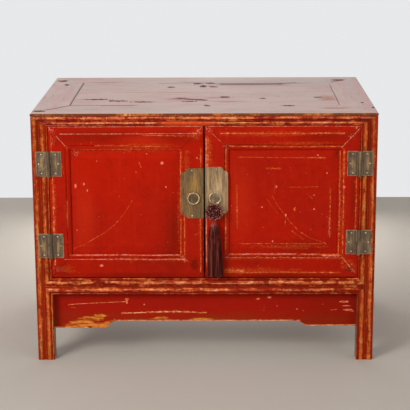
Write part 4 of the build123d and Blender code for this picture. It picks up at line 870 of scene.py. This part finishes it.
def shape(add, name, scale=(1.0, 1.0, 1.0), smooth=True, **given):
    """A simple shape made by one of Blender's operators, scaled and settled."""
    deselect()
    add(**given)
    made = bpy.context.object
    made.scale = scale
    if smooth:
        bpy.ops.object.shade_smooth()
    return settle(made, name)


def dress(piece, material):
    piece.data.materials.clear()
    piece.data.materials.append(material)


def dress_nodes(material, *names):
    for name in names:
        dress(nodes[name], material)


def strands(name, lines, radius, corners=0):
    """Thin round threads along lists of points, made one mesh."""
    deselect()
    curve = bpy.data.curves.new(name, "CURVE")
    curve.dimensions = "3D"
    curve.bevel_depth = radius
    curve.bevel_resolution = corners
    curve.use_fill_caps = True
    curve.resolution_u = 3
    for points in lines:
        closed = points[0] == points[-1]
        if closed:
            points = points[:-1]
        spline = curve.splines.new("POLY")
        spline.points.add(len(points) - 1)
        for slot, (x, y, z, *thin) in zip(spline.points, points):
            slot.co = (x, y, z, 1.0)
            slot.radius = thin[0] if thin else 1.0
        spline.use_cyclic_u = closed
    piece = placed(name, curve)
    piece.select_set(True)
    bpy.context.view_layer.objects.active = piece
    bpy.ops.object.convert(target="MESH")
    piece = bpy.context.object
    bpy.ops.object.shade_smooth()
    return settle(piece, name)


def join(pieces, name):
    deselect()
    for piece in pieces:
        piece.select_set(True)
    bpy.context.view_layer.objects.active = pieces[0]
    bpy.ops.object.join()
    return settle(bpy.context.object, name)


# ---------------------------------------------------------------- tassel
KNOT = Vector((0.024, -0.29735, 0.3967))
KNOT_R = 0.0228
KNOT_T = 0.0069             # half its thickness
KNOT_ROWS = [(0, 1), (24, 5), (44, 10), (64, 14), (86, 17), (108, 15), (130, 11), (154, 6), (180, 1)]
KNOT_LOOP_REACH = (KNOT_R - 0.0042, KNOT_T - 0.0042, KNOT_R - 0.0044)    # how far out a small loop stands
LOOP_R = 0.0037
LOOP_CORD_R = 0.00105
CORD_R = 0.00052
CORD_STEPS = 40
TWIST_R = 0.00045           # from the loop's centre line to the strands twisted round it
TWISTS = 4
CAP_LOW = 0.3478
HEAD_PROFILE = [(0.3733, 0.0026), (0.37, 0.0028), (0.3668, 0.004), (0.3645, 0.0064), (0.361, 0.0076),
                (0.356, 0.0079), (0.351, 0.0078), (0.3484, 0.0077)]             # heights and radii
HEAD_THREADS = 46
HEAD_CORE = (0.0074, 0.0074, 0.0085)
HEAD_CORE_Z = 0.3565
BINDING = [(0.3722, 0.0031), (0.3707, 0.0032), (0.3692, 0.0032)]
BINDING_R = 0.0008
BINDING_STEPS = 24
THREAD_R = 0.0006
ROOT = 0.36                 # the skirt's threads start at this height, inside the cap
HEM = 0.2262
LEAN = 0.0035
SKIRT_STEPS = 11
SKIRT_WIDE = (0.0074, 0.0141, 0.36)             # half its width at the root, what it gains, how early it gains it
SKIRT_DEEP = (0.0068, 0.0034, 0.5)
LOCKS = 30
LOCK_THREADS = 15
INNER_THREADS = 110


def make_cord_loop():
    """Two twisted cords round the bottom of the right-hand ring."""
    low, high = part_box("tassel_loop")
    centre = (low + high) / 2
    reach = (high.z - low.z) / 2 - 0.001
    lines = []
    for start in (0.0, math.pi):
        points = []
        for step in range(CORD_STEPS + 1):
            turn = 2 * math.pi * (step % CORD_STEPS) / CORD_STEPS
            twist = start + turn * TWISTS
            out = reach + TWIST_R * math.cos(twist)
            points.append((centre.x + TWIST_R * math.sin(twist),
                           centre.y + out * math.cos(turn), centre.z + out * math.sin(turn)))
        lines.append(points)
    return strands("cord_loop", lines, CORD_R, 1)


def make_knot_core():
    """The wound core under the loops of the knot; its near-black silk is painted shade between the loops."""
    return shape(bpy.ops.mesh.primitive_uv_sphere_add, "knot_core", (KNOT_R * 0.78, KNOT_T * 0.5, KNOT_R * 0.78),
                 segments=24, ring_count=14, radius=1.0, location=KNOT)


def make_knot_loops():
    """Rows of small cord loops that lean outwards all over the knot."""
    first = shape(bpy.ops.mesh.primitive_torus_add, "knot_loop", (0.74, 1.0, 1.0),
                  major_radius=LOOP_R, minor_radius=LOOP_CORD_R, major_segments=14, minor_segments=6)
    pieces = []
    ahead = Vector((0.0, -1.0, 0.0))
    for row, (angle, count) in enumerate(KNOT_ROWS):
        for place in range(count):
            tilt = math.radians(angle + dice.uniform(-4, 4))
            turn = 2 * math.pi * (place + 0.5 * (row % 2)) / count + dice.uniform(-0.1, 0.1)
            out = Vector((math.sin(tilt) * math.cos(turn), -math.cos(tilt), math.sin(tilt) * math.sin(turn)))
            side = out.cross(ahead).normalized() if 0 < row < len(KNOT_ROWS) - 1 else Vector((1.0, 0.0, 0.0))
            stand = Matrix((side, out, side.cross(out))).transposed()
            lean = Matrix.Rotation(math.radians(dice.uniform(25, 60)), 3, "X")
            spin = Matrix.Rotation(dice.uniform(-0.5, 0.5), 3, "Y")
            reach = Vector([share * far for share, far in zip(out, KNOT_LOOP_REACH)])
            loop = placed("knot_loop", first.data.copy())
            loop.data.transform(Matrix.Translation(KNOT + reach) @ (stand @ spin @ lean).to_4x4())
            pieces.append(loop)
    bpy.data.objects.remove(first)
    return join(pieces, "knot_loops")


def ring_of(radius, turn, z):
    return KNOT.x + radius * math.cos(turn), KNOT.y + radius * math.sin(turn), z


def make_head():
    """Threads drawn together at the neck, spread over a small dome and bound with wound thread."""
    lines = []
    for place in range(HEAD_THREADS):
        turn = 2 * math.pi * place / HEAD_THREADS + dice.uniform(-0.03, 0.03)
        puff = dice.uniform(0.94, 1.0)
        lines.append([ring_of(radius * puff, turn, z) for z, radius in HEAD_PROFILE])
    threads = strands("head_threads", lines, THREAD_R)
    core = shape(bpy.ops.mesh.primitive_uv_sphere_add, "head_core", HEAD_CORE,
                 segments=20, ring_count=12, radius=1.0, location=(KNOT.x, KNOT.y, HEAD_CORE_Z))
    angles = [math.tau * (step % BINDING_STEPS) / BINDING_STEPS for step in range(BINDING_STEPS + 1)]
    turns = [[ring_of(radius, angle, z + 0.0004 * math.sin(angle + band)) for angle in angles]
             for band, (z, radius) in enumerate(BINDING)]
    return join([threads, core, strands("neck_binding", turns, BINDING_R, 1)], "tassel_cap")


def opened(root, gain, power, share):
    """Half a size of the skirt, a share of the way from its root to its hem."""
    return root + gain * share ** power


def skirt_thread(turn, depth, low, bend, phase):
    """One thread from inside the cap to its end; turn and depth say where it hangs in the skirt."""
    points = []
    for step in range(SKIRT_STEPS + 1):
        share = (step / SKIRT_STEPS) ** 1.5
        x = KNOT.x + LEAN * share ** 1.4 + opened(*SKIRT_WIDE, share) * depth * math.cos(turn)
        y = KNOT.y + opened(*SKIRT_DEEP, share) * depth * math.sin(turn)
        points.append((x + bend * math.sin(phase + share * 6.0) * share, y,
                       ROOT + (low - ROOT) * share, 1.0 - 0.4 * share))
    return points


def make_skirt():
    """Silk threads that hang from the cap in uneven locks, with a ragged hem."""
    lines = []
    for lock in range(LOCKS):
        turn = math.tau * (lock + dice.uniform(-0.35, 0.35)) / LOCKS
        out = 0.98 if lock % 3 else 0.8
        low = HEM + abs(dice.gauss(0.0, 0.0042))
        bend = dice.uniform(-0.0012, 0.0012)
        phase = dice.uniform(0, 6.3)
        for _ in range(LOCK_THREADS):
            lines.append(skirt_thread(turn + dice.gauss(0.0, 0.075), out * dice.uniform(0.86, 1.0),
                                      low + abs(dice.gauss(0.0, 0.0026)), bend, phase))
    for _ in range(INNER_THREADS):
        lines.append(skirt_thread(dice.uniform(0, math.tau), dice.uniform(0.15, 0.75),
                                  HEM + 0.001 + abs(dice.gauss(0.0, 0.003)), 0.0006, dice.uniform(0, 6.3)))
    return strands("silk_skirt", lines, THREAD_R)


# ---------------------------------------------------------------- stage, lights and camera
CAMERA_TURNS = (13.907, -0.721, -0.278)         # pitch, yaw and roll in degrees
CAMERA_PLACE = (0.0437, -3.6277, 1.2395)
LENS = 121.1                                    # millimetres
SENSOR = 36.0
ROOM_WIDE = 40.0
ROOM_HIGH = 6.0
WALL_Y = 1.5
SKY = (0.96, 0.98, 1.0, 1.0)
SKY_STRENGTH = 0.6


def flat_material(name, colour, glow=False):
    """Matt floor or wall; a glowing one shows its own colour to the camera and in reflections."""
    tree = Surface(name, Specular_IOR_Level=0.15)
    cloud = tree.noise(tree.place(), 1.3, detail=5.0)
    material = tree.finish(tree.mix(tree.smooth(cloud, 0.3, 0.7), tuple(c * 0.97 for c in colour), colour), 0.75)
    if glow:
        path = tree.node("LightPath").outputs
        seen = tree.highest(path["Is Camera Ray"], path["Is Glossy Ray"], path["Is Transmission Ray"])
        light = tree.node("Emission", {"Color": colour, "Strength": 1.0})
        behind = tree.node("NewGeometry").outputs["Backfacing"]
        front = tree.node("MixShader", {0: seen, 1: tree.shader.outputs[0], 2: light.outputs[0]})
        clear = tree.node("BsdfTransparent").outputs[0]
        whole = tree.node("MixShader", {0: behind, 1: front.outputs[0], 2: clear})
        tree.feed(tree.output.inputs["Surface"], whole.outputs[0])
    return material


def make_stage():
    floor = shape(bpy.ops.mesh.primitive_plane_add, "floor", smooth=False, size=ROOM_WIDE, location=(0, 0, 0))
    dress(floor, flat_material("pale_floor", (0.5, 0.455, 0.4)))
    wall = shape(bpy.ops.mesh.primitive_plane_add, "wall", (ROOM_WIDE, ROOM_HIGH, 1.0), smooth=False,
                 size=1.0, location=(0, WALL_Y, ROOM_HIGH / 2), rotation=(math.pi / 2, 0, 0))
    dress(wall, flat_material("white_wall", (0.8, 0.81, 0.82), glow=True))


def make_lamp(name, place, target, size, power, colour=(1.0, 0.98, 0.95)):
    light = bpy.data.lights.new(name, "AREA")
    light.shape = "DISK"
    light.size = size
    light.energy = power
    light.color = colour
    lamp = placed(name, light)
    lamp.location = place
    lamp.rotation_euler = (Vector(target) - Vector(place)).to_track_quat("-Z", "Y").to_euler()
    lamp.visible_camera = False


def make_world():
    world = bpy.data.worlds.new("studio")
    bpy.context.scene.world = world
    world.use_nodes = True
    background = world.node_tree.nodes["Background"]
    background.inputs["Color"].default_value = SKY
    background.inputs["Strength"].default_value = SKY_STRENGTH


def make_camera():
    pitch, yaw, roll = (math.radians(turn) for turn in CAMERA_TURNS)
    ahead = Vector((math.sin(yaw) * math.cos(pitch), math.cos(yaw) * math.cos(pitch), -math.sin(pitch)))
    level = Vector((math.cos(yaw), -math.sin(yaw), 0.0))
    upright = level.cross(ahead)
    right = math.cos(roll) * level + math.sin(roll) * upright
    above = math.cos(roll) * upright - math.sin(roll) * level
    data = bpy.data.cameras.new("camera")
    data.lens = LENS
    data.sensor_width = SENSOR
    camera = placed("camera", data)
    camera.matrix_world = Matrix.Translation(CAMERA_PLACE) @ Matrix((right, above, -ahead)).transposed().to_4x4()
    bpy.context.scene.camera = camera


# ---------------------------------------------------------------- putting the cabinet together
SIDES = ("left", "right")


def dress_carcass():
    """Every fixed piece of wood; wear is how much more or less a piece is rubbed than the rest."""
    for name, grain, wear, change, tones in (
        ("post_front_left", ALONG_Z, 0.02, banded(LEFT_BANDS), POST_TONES),
        ("post_front_right", ALONG_Z, 0.04, banded(RIGHT_BANDS), POST_TONES),
        ("post_rear_left", ALONG_Z, -0.2, feet_wear, POST_TONES),
        ("post_rear_right", ALONG_Z, -0.2, feet_wear, POST_TONES),
        ("lower_rail_front", ALONG_X, 0.06, rail_wear, RAIL_TONES),
        ("lower_rail_rear", ALONG_X, -0.24, None, POST_TONES),
        ("lower_rail_left", ALONG_Y, -0.02, None, RAIL_TONES),
        ("lower_rail_right", ALONG_Y, -0.02, None, RAIL_TONES),
    ):
        dress_nodes(moulding_material(name + "_lacquer", grain, wear, change, tones), name)
    dress_nodes(top_frame_material("top_frame_long", ALONG_X), "top_rail_front", "top_rail_rear")
    dress_nodes(top_frame_material("top_frame_short", ALONG_Y), "top_rail_left", "top_rail_right")
    dress_nodes(top_board_material(), "top_board_front", "top_board_rear")
    dress_nodes(apron_material(), "apron_front")
    dress_nodes(panel_lacquer("side_lacquer", ALONG_Z, 0.25), "side_panel_left", "side_panel_right")
    dress_nodes(panel_lacquer("side_apron_lacquer", ALONG_Y, 0.55), "apron_left", "apron_right")
    dress_nodes(bare_material("bare_wood_long", ALONG_X), "bottom_board_front", "bottom_board_rear",
                "door_stop_top", "door_stop_bottom", "left_door_panel_battens", "right_door_panel_battens")
    dress_nodes(bare_material("bare_wood_short", ALONG_Y), "top_battens", "bottom_batten")
    dress_nodes(bare_material("bare_wood_upright", ALONG_Z), "back_board_left", "back_board_right", "back_muntin")


def dress_doors():
    for side, marks in zip(SIDES, (LEFT_MARKS, RIGHT_MARKS)):
        for part in ("hinge_stile", "lock_stile", "top_rail", "bottom_rail", "panel"):
            name = f"{side}_door_{part}"
            dress(nodes[name], door_material(name + "_lacquer", marks_near(marks, *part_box(name))))


HINGE_HEIGHTS = {-1: (0.516, 0.305), 1: (0.516, 0.314)}      # on the left side and on the right
HINGE_LEAVES = ((0.4056, 0.0134), (0.36845, 0.01345))       # centre and half width of the two leaves
BARREL_X = 0.387
BARREL_HEIGHTS = (0.516, 0.309)


def hinge_rims():
    """Centre and half size of every hinge leaf."""
    rims = []
    for side, heights in HINGE_HEIGHTS.items():
        for z in heights:
            for x, half in HINGE_LEAVES:
                rims.append(((side * x, 0.0, z), (half - 0.0005, 0.0, 0.031)))
    return rims


def ring_shadow(side):
    """Painted shadow of a ring on its plate: a dark patch behind the ring and one beside it, a little to the right
    and below.
    """
    low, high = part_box(side + "_door_ring_pull")
    x, z = (low.x + high.x) / 2, (low.z + high.z) / 2
    return [(x, z, 0.0125, 0.0135), (x + 0.004, z - 0.003, 0.014, 0.014)]


def dress_brass():
    for side, name, tones, shine, glow in (
        ("left", "olive_brass", ((0.15, 0.098, 0.05), (0.285, 0.16, 0.062), (0.47, 0.26, 0.07), (0.4, 0.25, 0.11)),
         0.4, (-0.026, 0.448, 0.022, 0.055)),
        ("right", "pale_brass", ((0.28, 0.185, 0.1), (0.48, 0.31, 0.16), (0.7, 0.48, 0.24), (0.8, 0.64, 0.45)),
         0.36, (0.036, 0.45, 0.018, 0.05)),
    ):
        dress_nodes(brass_material(name, tones, shine, [glow], painted_shade=ring_shadow(side)), side + "_door_face_plate")
    rims = hinge_rims()
    # glow at the middle of every hinge leaf: a painted highlight
    glow = [(x, z, 0.008, 0.026) for (x, _, z), _ in rims]
    # painted shade along the hinge barrels and the gaps beside them
    barrels = [(side * BARREL_X, z, 0.0062, 0.036) for side in HINGE_HEIGHTS for z in BARREL_HEIGHTS]
    hinge_tones = ((0.115, 0.078, 0.05), (0.19, 0.128, 0.08), (0.4, 0.25, 0.1), (0.52, 0.38, 0.24))
    dress_nodes(brass_material("dark_brass", hinge_tones, 0.42, glow, rims, barrels),
                "post_hinge_leaves_left", "post_hinge_leaves_right", "left_door_hinge_leaves",
                "right_door_hinge_leaves", "hinge_pins")
    nail_tones = (BRASS_WARM, BRASS_PALE, (0.7, 0.58, 0.4), (0.8, 0.7, 0.55))
    dress_nodes(brass_material("nail_brass", nail_tones, 0.34), "post_hinge_nails", "left_door_nails",
                "right_door_nails")
    ring_tones = (BRASS_WARM, BRASS_PALE, (0.8, 0.66, 0.42), (0.86, 0.76, 0.55))
    dress_nodes(brass_material("ring_brass", ring_tones, 0.26),
                *(f"{side}_door_ring_{part}" for side in SIDES for part in ("pull", "staple")))


def hang_tassel():
    hanging = silk_material("burgundy_silk", (0.012, 0.002, 0.002), (0.085, 0.01, 0.008), (0.24, 0.045, 0.034),
                            (420.0, 420.0, 9.0), 0.8, fanned=True)
    knotted = silk_material("knotted_silk", SILK_DARK, (0.19, 0.04, 0.032), (0.62, 0.28, 0.23),
                            (420.0, 420.0, 420.0))
    # near-black silk of the knot's core: painted shade between the loops
    dark = silk_material("knot_core_shade", (0.008, 0.002, 0.002), (0.02, 0.004, 0.004), SILK, (300.0, 300.0, 300.0))
    bound = silk_material("binding_thread", (0.06, 0.016, 0.013), (0.17, 0.045, 0.038), (0.38, 0.14, 0.115),
                          (520.0, 520.0, 60.0))
    core = make_knot_core()
    dress(core, dark)
    loops = make_knot_loops()
    dress(loops, knotted)
    for piece, body, node, slot, material in (
        (make_cord_loop(), "tassel_loop", "tassel_loop", "tassel_silk", knotted),
        (join([loops, core], "loop_knot"), "tassel", "tassel_knot", "tassel_silk", None),
        (make_head(), "tassel", "tassel_head", "tassel_binding", bound),
        (make_skirt(), "tassel", "tassel_skirt", "tassel_silk", hanging),
    ):
        if material:
            dress(piece, material)
        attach(piece, body)
        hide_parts(node)


make_camera()
make_stage()
make_world()
make_lamp("window", (-2.6, -3.5, 2.5), (0, 0, 0.3), 1.8, 136.0)
make_lamp("fill", (3.0, -3.2, 1.5), (0, 0, 0.3), 2.4, 22.0, (1.0, 0.97, 0.93))
make_lamp("back_glow", (0, 1.2, 0.35), (0, 0, 0), 0.8, 12.0)
dress_carcass()
dress_doors()
dress_brass()
hang_tassel()
bpy.context.scene.view_settings.view_transform = "Standard"
